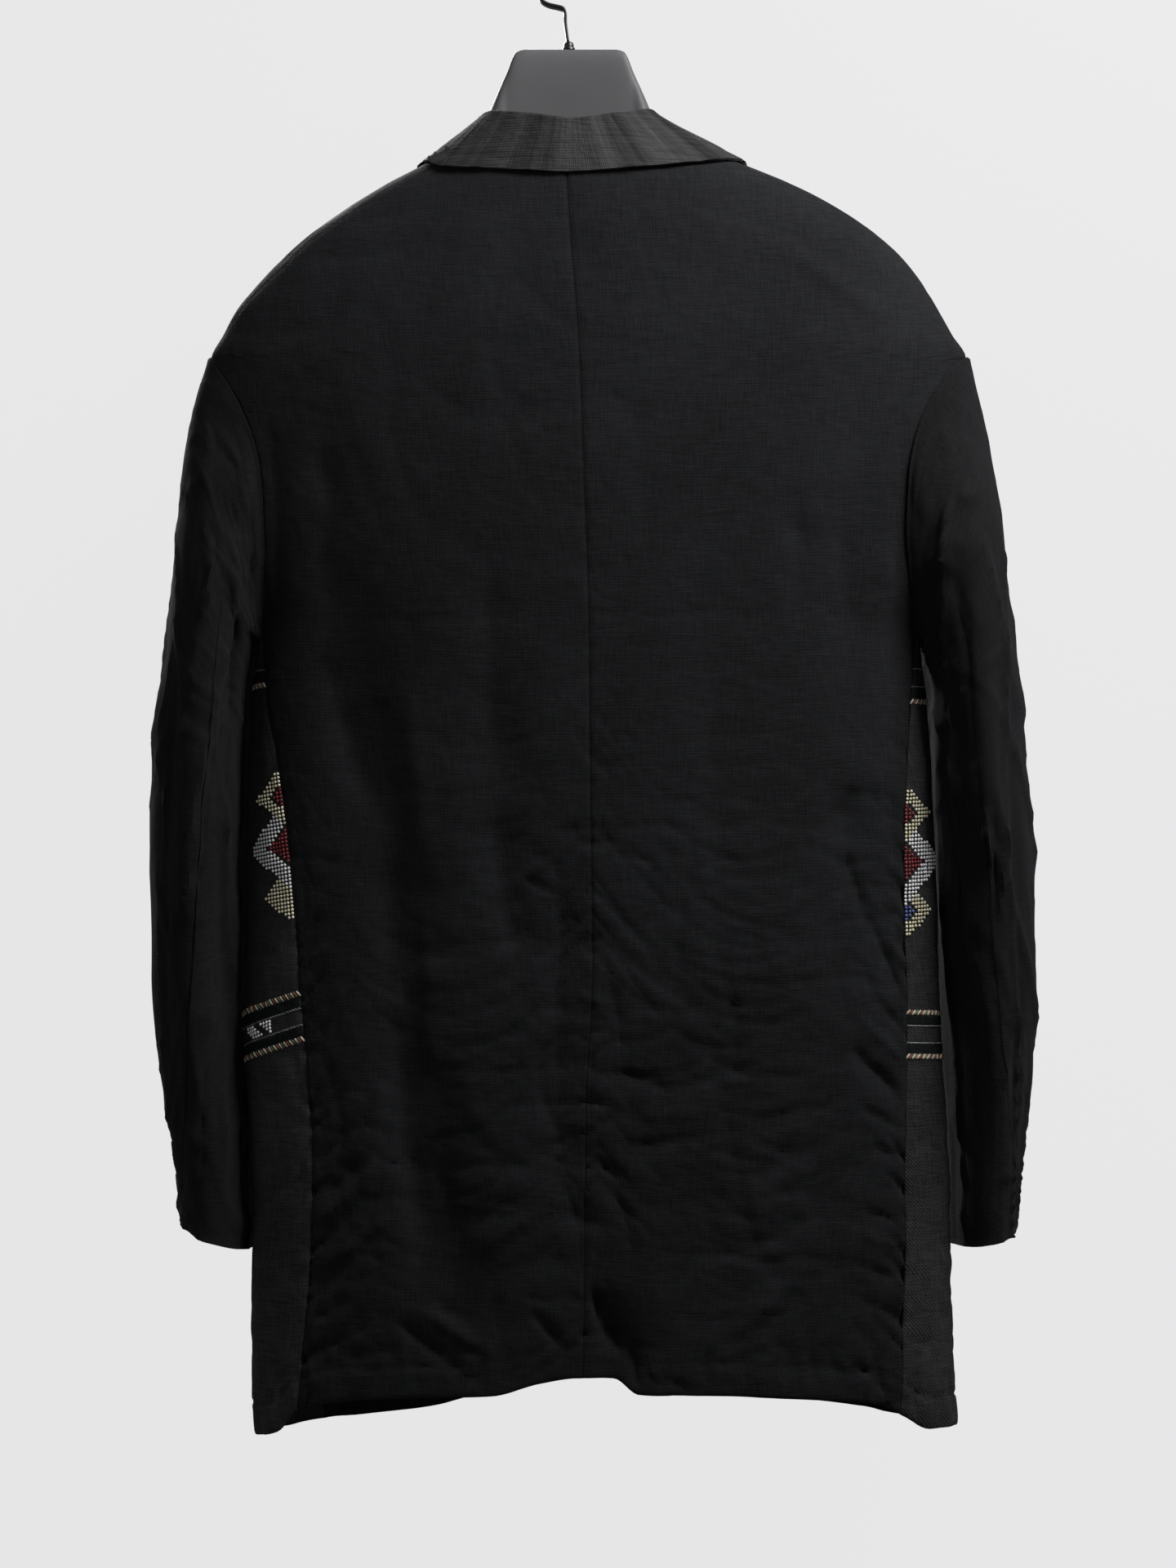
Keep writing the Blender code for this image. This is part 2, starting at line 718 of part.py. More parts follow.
def make_sleeves(cloth):
    """Each sleeve: the top sleeve over its outer side and the under sleeve beside the body."""
    for word, side in (("left", -1), ("right", 1)):
        outer, inner = sleeve_grids(side)
        count = len(outer[0])
        under = list(range(ELBOW_COLUMN, FOREARM_COLUMN + 1))
        top = [j % count for j in range(FOREARM_COLUMN, count + ELBOW_COLUMN + 1)]
        for name, picks in (("sleeve_top_" + word, top), ("sleeve_under_" + word, under)):
            grids = [narrowed([[row[j] for j in picks] for row in grid]) for grid in (outer, inner)]
            wall_mesh(name, *grids, cloth)
        make_cuff_buttons(word, side)


def make_button(name, point, normal, radius, material):
    """A flat round button with a raised rim, set off the cloth by a gap."""
    bm = bmesh.new()
    bmesh.ops.create_cone(
        bm, cap_ends=True, segments=14, radius1=radius, radius2=radius * 0.9, depth=BUTTON_THICKNESS
    )
    mesh = bpy.data.meshes.new(name)
    button = finish(name, bm, mesh, material)
    button.rotation_mode = "QUATERNION"
    button.rotation_quaternion = normal.to_track_quat("Z", "Y")
    button.location = point + normal * (BUTTON_THICKNESS / 2 + BUTTON_GAP)
    return button


def make_cuff_buttons(word, side):
    """The buttons beside the cuff's vent."""
    columns = SLEEVE_LEFT if side < 0 else SLEEVE_RIGHT
    for k, share in enumerate(CUFF_BUTTON_ROWS):
        row = columns["row"][-1] * share
        here = sleeve_ring_point(columns, row, CUFF_BUTTON_TURN, side)
        ahead = sleeve_ring_point(columns, row, CUFF_BUTTON_TURN + 4, side)
        below = sleeve_ring_point(columns, row + 0.1, CUFF_BUTTON_TURN, side)
        normal = (ahead - here).cross(below - here).normalized()
        normal = normal if normal.x * side > 0 else -normal
        make_button(f"cuff_button_{word}_{k + 1}", here, normal, CUFF_BUTTON_RADIUS, finishes["button"])


def make_front_buttons():
    """The buttons that close the fronts."""
    for k, z in enumerate(FRONT_BUTTON_ZS):
        turn = turn_of(ring(z)[0] + 2 * MM, z, 1)
        here, normal = moved_out(turn, z, lap_lift(turn, z)), body_normal(turn, z)
        make_button(f"front_button_{k + 1}", here, normal, FRONT_BUTTON_RADIUS, finishes["button"])


def shoulder_height(x):
    """The height of the shoulder's ridge at an x."""
    low, high = SHOULDER_Z, NECK_Z
    side = "left" if x < 0 else "right"
    for _ in range(40):
        z = (low + high) / 2
        if abs(x) > abs(read(BODY, side, z)):
            high = z
        else:
            low = z
    return z


def hanger_section(x):
    """The top, underside, half depth and power of the hanger at an x. The arms seat under the shoulders."""
    joint = HANGER_TOP["x"][-1]
    if abs(x) <= joint:
        return tuple(read(HANGER_TOP, name, abs(x), "x") for name in ("top", "bottom", "depth", "power"))
    out = math.copysign(MM, x)
    steep = (shoulder_height(x + out) - shoulder_height(x - out)) / (2 * MM)
    top = shoulder_height(x) - (WALL + 2 * GAP) * math.hypot(1, steep)
    arm = ARM_END_LEFT if x < 0 else ARM_END_RIGHT
    along = (abs(x) - joint) / arm
    close = 1 - 0.7 * ease((along - 0.9) / 0.1)
    deep = HANGER_TOP["depth"][-1] + (HANGER_ARM_DEPTH - HANGER_TOP["depth"][-1]) * along
    return top, top - HANGER_ARM_HEIGHT * math.hypot(1, steep) * close, deep * close, 1


def make_hanger(plastic):
    """The hanger: a flat neck plate that flares into two broad arms under the shoulders."""
    joint = HANGER_TOP["x"][-1]
    places = [-joint - ARM_END_LEFT * k / 9 for k in range(9, 0, -1)]
    half = (0, 18, 30, 36, 38.5, 42, 47, 53, 60, 70)
    places += [-x * MM for x in half[:0:-1]] + [x * MM for x in half]
    places += [joint + ARM_END_RIGHT * k / 9 for k in range(1, 10)]
    bm, loops = bmesh.new(), []
    for x in places:
        top, bottom, deep, power = hanger_section(x)
        loop = []
        for k in range(HANGER_SIDES):
            angle = 2 * math.pi * k / HANGER_SIDES
            s, c = math.sin(angle), math.cos(angle)
            y = deep * math.copysign(abs(s) ** power, s)
            z = (top + bottom) / 2 + (top - bottom) / 2 * math.copysign(abs(c) ** power, c)
            loop.append(bm.verts.new((x, y, z)))
        loops.append(loop)
    for a, b in zip(loops, loops[1:]):
        for k in range(HANGER_SIDES):
            bm.faces.new((a[k - 1], a[k], b[k], b[k - 1]))
    bm.faces.new(loops[0])
    bm.faces.new(loops[-1][::-1])
    finish("hanger_body", bm, bpy.data.meshes.new("hanger_body"), plastic)


def hook_path():
    """The hook's middle line, from the nut up, jogged to its left and round over the rod."""
    points = [Vector((x, 0, z)) for x, z in zip(HOOK_FOOT["x"], HOOK_FOOT["z"])]
    centre = Vector((0, 0, -HOOK_RADIUS))
    around = HOOK_RADIUS + HOOK_STRIP / 2
    for angle in range(HOOK_START, HOOK_END - 1, -HOOK_STEP):
        swing = math.radians(angle)
        points.append(centre + Vector((math.cos(swing), 0, math.sin(swing))) * around)
    return points


def make_hook(metal):
    """A flat steel strip, on edge along Y, bent over the rod that it hangs on."""
    path = hook_path()
    bm, loops = bmesh.new(), []
    for i, point in enumerate(path):
        ahead = (path[min(i + 1, len(path) - 1)] - path[max(i - 1, 0)]).normalized()
        across = Vector((-ahead.z, 0, ahead.x)) * (HOOK_STRIP / 2)
        edge = Vector((0, HOOK_WIDTH / 2, 0))
        corners = (across + edge, edge - across, -across - edge, across - edge)
        loops.append([bm.verts.new(point + corner) for corner in corners])
    for a, b in zip(loops, loops[1:]):
        for k in range(4):
            bm.faces.new((a[k - 1], a[k], b[k], b[k - 1]))
    bm.faces.new(loops[0])
    bm.faces.new(loops[-1][::-1])
    finish("hanger_hook", bm, bpy.data.meshes.new("hanger_hook"), metal)


def make_nut(metal):
    """The domed nut at the hook's foot, on the neck plate's top."""
    low, high = HANGER_TOP["top"][0] + GAP, NUT_TOP_Z - GAP
    bm = bmesh.new()
    sizes = {"radius1": NUT_FOOT, "radius2": NUT_HEAD, "depth": high - low}
    bmesh.ops.create_cone(bm, cap_ends=True, segments=16, **sizes)
    bmesh.ops.translate(bm, verts=bm.verts, vec=(NUT_X, 0, (low + high) / 2))
    finish("hanger_nut", bm, bpy.data.meshes.new("hanger_nut"), metal)


for thing in list(bpy.data.objects):
    bpy.data.objects.remove(thing)
bpy.context.scene.collection.children.link(bpy.data.collections.new("embroidered_jacket"))
finishes = {
    "linen": make_material("black_linen", (0.013, 0.013, 0.015), 0.9),
    "twill": make_material("woven_twill", (0.016, 0.016, 0.018), 0.9),
    "collar": make_material("washed_linen", (0.04, 0.04, 0.042), 0.95),
    "button": make_material("dark_horn", (0.015, 0.012, 0.01), 0.35),
    "plastic": make_material("grey_plastic", (0.1, 0.1, 0.105), 0.45),
    "metal": make_material("blackened_steel", (0.08, 0.08, 0.085), 0.35, 1.0),
}
make_backs(finishes["linen"])
make_side_panels(finishes["twill"])
make_fronts(finishes["linen"])
make_lapels(finishes["linen"])
make_collar(finishes["collar"])
make_sleeves(finishes["linen"])
make_front_buttons()
make_hanger(finishes["plastic"])
make_hook(finishes["metal"])
make_nut(finishes["metal"])
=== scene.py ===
"""The looks of a long linen jacket with woven side panels, hanging on a broad hanger.

Its back faces -Y, the wearer's right is +X, and the origin is where the hook bears on a rod.
The cloth is worked out again from the same rings and seams as its solids, in finer steps, with
its creases, seams, hems and puckers, and each piece is a thin closed shell on its solid's form.
"""

import math

import bmesh
import bpy
import numpy as np
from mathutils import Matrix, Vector


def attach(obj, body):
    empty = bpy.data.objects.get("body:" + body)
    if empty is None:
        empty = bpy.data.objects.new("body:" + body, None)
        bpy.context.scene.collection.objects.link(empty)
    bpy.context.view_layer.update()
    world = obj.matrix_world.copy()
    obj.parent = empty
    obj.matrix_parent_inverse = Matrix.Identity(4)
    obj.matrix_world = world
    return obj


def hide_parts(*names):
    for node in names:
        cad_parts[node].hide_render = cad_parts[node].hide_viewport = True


MM = 0.001
SIDES = (("left", -1), ("right", 1))
# Walls, gaps, heights and columns of the solids, and the shown cloth's own thickness.
WALL = 1.5 * MM
CLOTH = 1.2 * MM
GAP = 0.3 * MM
NECK_Z = -134 * MM
SHOULDER_Z = -275 * MM
UNDERARM_Z = -462 * MM
HEM_Z = -980 * MM
ARM_ROWS = 9
SIDE_COLUMNS = 5
LOOP_STEPS = 2 * ARM_ROWS + SIDE_COLUMNS
ELBOW_COLUMN = 6
FOREARM_COLUMN = 16
# The fronts' lap, the lapels and the collar.
LAP = 18 * MM
LAP_LIFT = 2.6 * MM
LAP_RAMP = 100 * MM
GORGE_Z = -184 * MM
RIGHT_LAPEL_END_Z = -440 * MM
BREAK_Z = -500 * MM
LAPEL_LIFT = WALL + GAP + 0.4 * MM
COLLAR_LIFT = 1.6 * MM
COLLAR_THICK = 1.8 * MM
COLLAR_END = 140
CORNER_SHARE = 0.4
ROLL_RADIUS = 3.2 * MM
# The buttons.
CUFF_BUTTON_RADIUS = 7.2 * MM
CUFF_BUTTON_ROWS = (0.905, 0.948)
CUFF_BUTTON_TURN = 14
FRONT_BUTTON_RADIUS = 10 * MM
FRONT_BUTTON_ZS = (-515 * MM, -640 * MM)
BUTTON_THICKNESS = 3 * MM
BUTTON_GAP = 0.5 * MM
# The hanger's arms, its hook and its nut.
ARM_END_LEFT = 150 * MM
ARM_END_RIGHT = 168 * MM
HANGER_ARM_DEPTH = 10 * MM
HANGER_ARM_HEIGHT = 24 * MM
HOOK_WIDTH = 9 * MM
HOOK_STRIP = 2 * MM
HOOK_EASE = 0.35 * MM
HOOK_RADIUS = 25 * MM
HOOK_START, HOOK_END, HOOK_STEP = 190, -10, 20
NUT_TOP_Z = -61 * MM
NUT_X = -1 * MM
NUT_FOOT = 4.2 * MM
# Steps of the shown meshes: their lengths and counts, and how they are packed.
FINE = 3 * MM
COARSE = 4.2 * MM
NECK_PACK = 1.15
EDGE_PACK = 0.6
BACK_COLUMNS = 92
SIDE_STEPS = 40
FRONT_STEPS = 60
LAPEL_STEPS = 90
LAPEL_ACROSS = 26
COLLAR_TURNS = 181
COLLAR_STAND, COLLAR_CREST, COLLAR_FALL = 6, 9, 20
SLEEVE_STEPS = 190
SLEEVE_ACROSS = 4.6
SLEEVE_PACK = 1.08
PANEL_SAMPLES = 120
ARM_STEPS, PLATE_STEPS, HANGER_SIDES = 40, 121, 48
BUTTON_SIDES, NUT_SIDES = 40, 32
SHARP_ANGLE = 50
# Seams, hems and vents, and where the cloth's unevenness grows.
MEAN_RADIUS = 0.24
LOW_START = -0.42
LOW_FALL = 0.35
SEAM_GROOVE = 1.7 * MM
# SEAM_LINE is how wide the painted shade along the seams is, and NO_SEAM is a distance to a seam
# that leaves it out.
SEAM_LINE = 1.1 * MM
SEAM_OVERLAP = 0.25 * MM
NO_SEAM = 0.1
TUCK_IN = 1.5 * MM
HEM_BAND = 21 * MM
HEM_EDGE = (HEM_Z + 0.7 * MM, HEM_Z)
VENT_ROW = 9.55
VENT_SHARE = 0.93
VENT_LIFT = 1.7 * MM
# A sleeve's row and column in millimetres, for its creases and its weave.
ROW_STEP = 55
COLUMN_STEP = 15
COLUMN_ARC = 15.6
WEAVE_SHIFT = 1.7
# The camera, the backdrop and the room.
CAMERA_X = 12 * MM
CAMERA_Z = -561 * MM
CAMERA_AWAY = 2100 * MM
FRAME_HEIGHT = 1056 * MM
SENSOR = 36
WALL_Y = 0.16
FLOOR_Z = -1.9
STAGE_BEND = 0.5
STAGE_SIDE, STAGE_TOP, STAGE_FRONT = 4, 3, -6
WALL_TONE = (0.02, 0.02, 0.02)
WALL_GLOW = 0.795
ROOM_TONE = (0.93, 0.94, 0.96)
ROOM_LIGHT = 0.16
# The lamps: name, place, what it aims at, size and power.
LAMPS = (
    ("key", (0.74, -0.52, 0.55), (0, 0, -0.5), (0.5, 0.5), 27),
    ("side", (-1.5, -0.9, 0.1), (0, 0, -0.6), (0.8, 0.8), 3),
    ("front_key", (-0.6, 1.6, 0.7), (0, 0, -0.5), (1.2, 1.0), 80),
)
# The woven bands and the beads. A kind of band has a step, a lean in degrees and half sizes.
BAND_RUN = 55 * MM
BAND_KINDS = {
    "rope": (2.1 * MM, 48, (2.4 * MM, 0.8 * MM, 0.7 * MM)),
    "line": (2.2 * MM, 8, (1.4 * MM, 0.42 * MM, 0.4 * MM)),
}
ROPE_COLOURS = ("cream", "brown", "cream", "olive")
YARN_LIFT = 0.55
GROUND_ROWS, GROUND_STEPS = 12, 44
BEAD_PITCH = 2.5 * MM
BEAD_HALF = (0.95 * MM, 1.08 * MM, 0.9 * MM)
BEAD_LIFT = 0.6
MOTIF_ROWS, MOTIF_COLUMNS = 39, 12
MOTIF_SLOPE = 0.85
PATCH_ROWS, PATCH_COLUMNS = 4, 9
CREASE = "x1 z1 x2 z2 bow width depth"
CURVES = {}
LATTICES = {}

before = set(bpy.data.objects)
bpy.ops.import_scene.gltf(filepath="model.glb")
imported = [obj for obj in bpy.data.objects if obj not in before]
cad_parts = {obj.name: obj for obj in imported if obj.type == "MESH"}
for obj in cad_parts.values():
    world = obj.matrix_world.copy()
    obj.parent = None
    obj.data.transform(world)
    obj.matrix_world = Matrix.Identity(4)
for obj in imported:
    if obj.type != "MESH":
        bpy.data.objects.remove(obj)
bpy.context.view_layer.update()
bpy.context.scene.view_settings.view_transform = "Standard"
bpy.context.scene.view_settings.look = "None"


def table(names, *rows):
    """A table with named columns: millimetres become metres, and degrees stay as they are."""
    plain = ("turn", "row", "angle", "power")
    return {
        name: np.array([row[i] for row in rows], float) * (1 if name in plain else MM)
        for i, name in enumerate(names.split())
    }


BODY = table(
    "z left right back front",
    (-134, -79, 95, 36, 36), (-142, -93, 110, 39, 39), (-148.5, -106, 127, 41, 42),
    (-159.5, -127, 154, 45, 46), (-176, -153.5, 184, 49, 50), (-192.5, -176.5, 208, 52, 53),
    (-209, -194.5, 225, 54, 55), (-225.5, -210.5, 237.5, 56, 57), (-242, -224, 247.5, 58, 59),
    (-258.5, -233, 257, 60, 61), (-275, -242, 267, 61, 63), (-310, -245, 269, 63, 65),
    (-362, -239, 262, 65, 68), (-415, -225, 249, 65, 69), (-462, -211, 236, 64, 69),
    (-505, -214, 239.5, 63, 69), (-571, -218.5, 244, 62, 69), (-651, -219.5, 248, 61, 69),
    (-722, -219.5, 250, 60, 68), (-793, -216.5, 254, 59, 67), (-869, -215, 257, 58, 66),
    (-935, -215.5, 259, 57, 65), (-1005, -212.5, 260, 56, 64),
)
CENTRE_SEAM = table(
    "z x",
    (-134, -3.5), (-198, 0.5), (-269, 6), (-369, 10), (-460, 13), (-530, 13.5), (-690, 15.5),
    (-796, 12), (-950, 10), (-1005, 10),
)
ARMHOLE = table(
    "z left right",
    (-275, -242, 267), (-281, -238, 258), (-297, -227.5, 245.5), (-312, -219.5, 237),
    (-331, -212, 230.5), (-352, -207, 227), (-385, -205, 225.5), (-415, -205.5, 228),
    (-440, -206, 231), (-462, -206.5, 231.8),
)
SIDE_SEAM = table(
    "z left right",
    (-462, -206.5, 231.8), (-499, -203, 228.5), (-545, -194.5, 225), (-599, -187, 222.5),
    (-650, -182, 222.5), (-700, -179.5, 224.5), (-769, -173.5, 223.5), (-820, -170.5, 223),
    (-859, -171.5, 223.5), (-910, -174.5, 222), (-948, -178, 221), (-1005, -182, 217),
)
HEM = table(
    "x back front",
    (-216, -999, -999), (-196, -993, -998), (-180, -976, -996), (-138, -968, -994),
    (-100, -965, -991), (-66, -964, -984), (-50, -963, -981), (-20, -955, -974), (5, -951, -971),
    (30, -952, -971), (46, -962, -973), (98, -963, -980), (172, -968, -986), (205, -972, -989),
    (222, -981, -992), (240, -991, -993), (262, -992, -993),
)
FRONT_SEAM = table("z turn", (-462, 104), (-520, 111), (-600, 117), (-800, 124), (-1005, 126))
ROLL_LINE = table(
    "z left right",
    (-134, -66, 82), (-176, -58, 74), (-230, -44, 62), (-300, -28, 47), (-380, -9, 30),
    (-450, 9, 15), (-500, 24, 2), (-540, 30, -6), (-1005, 30, -6),
)
LAPEL = table(
    "z width",
    (-184, 64), (-197, 88), (-212, 84), (-290, 62), (-380, 38), (-450, 18), (-500, 5),
)
# The largest folds of the body, each a soft trough, or a ridge where its depth is below zero.
BODY_FOLDS = table(
    "x1 z1 x2 z2 width depth side",
    (-150, -420, -112, -690, 26, 6, -1000), (-112, -690, -66, -940, 24, 7, -1000),
    (-52, -500, -34, -700, 24, 4, -1000), (196, -290, 188, -500, 18, 4, -1000),
    (184, -560, 178, -700, 20, 5, -1000), (120, -690, 60, -880, 26, 5, -1000),
    (30, -900, 26, -990, 15, 7, -1000), (-90, -420, -82, -980, 26, 5, 1000),
    (110, -400, 118, -980, 26, 5, 1000), (-150, -560, -140, -980, 22, -4, 1000),
    (172, -620, 176, -980, 22, -4, 1000),
)
# What both sleeves share, and then the outlines of each.
SLEEVE_FORM = table(
    "row mid depth bow turn_in",
    (0, 0, 31, 19, 0), (1, 1, 38, 15, 8), (2, 3, 46, 10, 18), (3, 6, 54, 6, 28),
    (4, 9, 62, 3, 36), (5, 12, 67, 1, 40), (6, 15, 69, 0, 42), (7, 18, 68, 0, 42),
    (8, 22, 66, 0, 42), (9, 27, 63, 0, 42), (10, 31, 61, 0, 42), (11, 34, 60, 0, 42),
)
SLEEVE_LEFT = SLEEVE_FORM | table(
    "outer_x outer_z inner_x inner_z",
    (-242, -275, -209, -462), (-250.5, -300, -213, -467), (-258, -335, -216, -476),
    (-263, -380, -218.5, -491), (-268, -430, -220, -515), (-274, -490, -221, -550),
    (-279, -555, -221.5, -593), (-281.5, -620, -222, -640), (-281.5, -687, -222, -695),
    (-276, -753, -221, -757), (-267, -812, -218.5, -822), (-262, -856, -217, -876),
)
SLEEVE_RIGHT = SLEEVE_FORM | table(
    "outer_x outer_z inner_x inner_z",
    (267, -275, 234, -462), (273.5, -300, 238.5, -467), (282, -335, 242, -476),
    (290, -380, 245, -491), (294, -430, 247, -515), (300, -490, 248.5, -550),
    (306, -555, 250.5, -593), (311, -620, 252, -640), (312.5, -687, 254, -695),
    (309, -753, 257, -757), (304.5, -812, 260, -822), (301, -862, 260, -873),
)
ELBOW_SEAM = table(
    "row angle",
    (0, 94), (3, 102), (5, 104), (7, 100), (8, 94), (9, 82), (10, 58), (11, 32),
)
FOREARM_SEAM = table("row angle", (0, 250), (3, 236), (6, 226), (11, 222))
# The largest folds of the sleeves: at an angle round the sleeve, between two of its rows.
SLEEVE_FOLDS = table(
    "angle row_from row_to spread depth",
    (128, 2000, 9000, 17, 6), (66, 4000, 10000, 15, 4), (300, 3000, 10000, 20, 5),
)
COLLAR = table(
    "turn edge_x edge_z roll_x roll_y roll_z",
    (-140, -110, -178, -55, 50, -166), (-125, -108, -170, -58, 41, -146),
    (-110, -105, -159, -61, 22, -123), (-90, -100, -144, -60, 2, -112),
    (-62, -84, -152, -52, -18, -111), (-36, -52, -155, -33, -30, -115), (0, -2, -158, 0, -35, -119),
    (36, 56, -154, 33, -30, -115), (62, 94, -148.5, 53, -18, -110.5), (90, 117, -144, 62, 2, -112),
    (110, 121, -159, 76, 22, -123), (125, 124, -170, 74, 41, -146),
    (140, 126, -178, 70.5, 51, -166),
)
# The hanger's sections: flat-sided across the neck plate, where the power is low, then oval.
HANGER_TOP = table(
    "x top bottom depth power",
    (0, -67, -160, 8, 0.4), (30, -67, -159, 8, 0.4), (36, -68.5, -158, 8, 0.4),
    (38.5, -72, -158, 8, 0.4), (42, -81, -158, 8, 0.42), (47, -92, -158, 9, 0.55),
    (52, -103, -158, 10, 0.85), (56, -113, -158, 11, 1), (61, -124, -159, 12, 1),
    (70, -134, -160, 14, 1),
)
HOOK_FOOT = table(
    "x z",
    (-1.6, -61), (-3, -50), (-3.3, -43), (-4.6, -39.5), (-8, -38.2), (-14, -36.8), (-18.5, -34.4),
    (-21.4, -30),
)
# The woven bands of each side panel: height at the back seam, drop towards the side, and kind.
ROPES = {
    "left": (
        (-484.6, 4, "line"), (-494.8, 5, "rope"), (-699.6, 17, "rope"), (-709.5, 17, "line"),
        (-720.5, 17, "line"), (-729.8, 17, "rope"),
    ),
    "right": (
        (-484, 0, "line"), (-496, 0, "line"), (-506, 0, "rope"), (-712.8, 3, "rope"),
        (-721.6, 3, "line"), (-733, 3, "line"), (-742, 3, "rope"),
    ),
}
# The dark green strips beside the ropes: upper and lower height at the back seam, and drop.
GROUNDS = {
    "left": ((-486.2, -492, 5), (-702.4, -708.3, 17), (-721.8, -727.2, 17)),
    "right": ((-497.5, -503.4, 0), (-715.6, -720.4, 3), (-734.4, -739.2, 3)),
}
# A beaded motif's half diamonds: middle row, reaches of the whole, hollow and core, two colours.
MOTIF = {
    "left": (
        (6, 7, 3, 2.5, "cream", "red"),
        (19, 11, 5.2, 4.4, "white", "red"),
        (32, 7.4, 0, -1, "cream", ""),
    ),
    "right": (
        (6, 7, 3, 2.5, "cream", "red"),
        (19, 11, 5.2, 4.4, "white", "red"),
        (32, 7.4, 3, 2.5, "cream", "blue"),
    ),
}
# The beaded motifs and patches: height of the first row, distance from the back seam and drop.
BEAD_STARTS = {"left": (-554, 1.6, 9), "right": (-566, 1.6, -3)}
BEAD_PATCH = {"left": (-711.5, 24, 17), "right": (-724, 44, 3)}
# Turned outlines from the bottom up: shares of the radius and of the height.
BUTTON_PROFILE = (
    (0.84, 0), (0.93, 0.08), (0.99, 0.25), (1, 0.5), (0.985, 0.75), (0.94, 0.94),
    (0.87, 1), (0.79, 0.97), (0.72, 0.86), (0.66, 0.74), (0.55, 0.68), (0.2, 0.66),
)
NUT_PROFILE = (
    (1, 0), (1, 0.18), (0.94, 0.26), (0.8, 0.3), (0.8, 0.6), (0.74, 0.78), (0.64, 0.9),
    (0.46, 0.97), (0.2, 1),
)
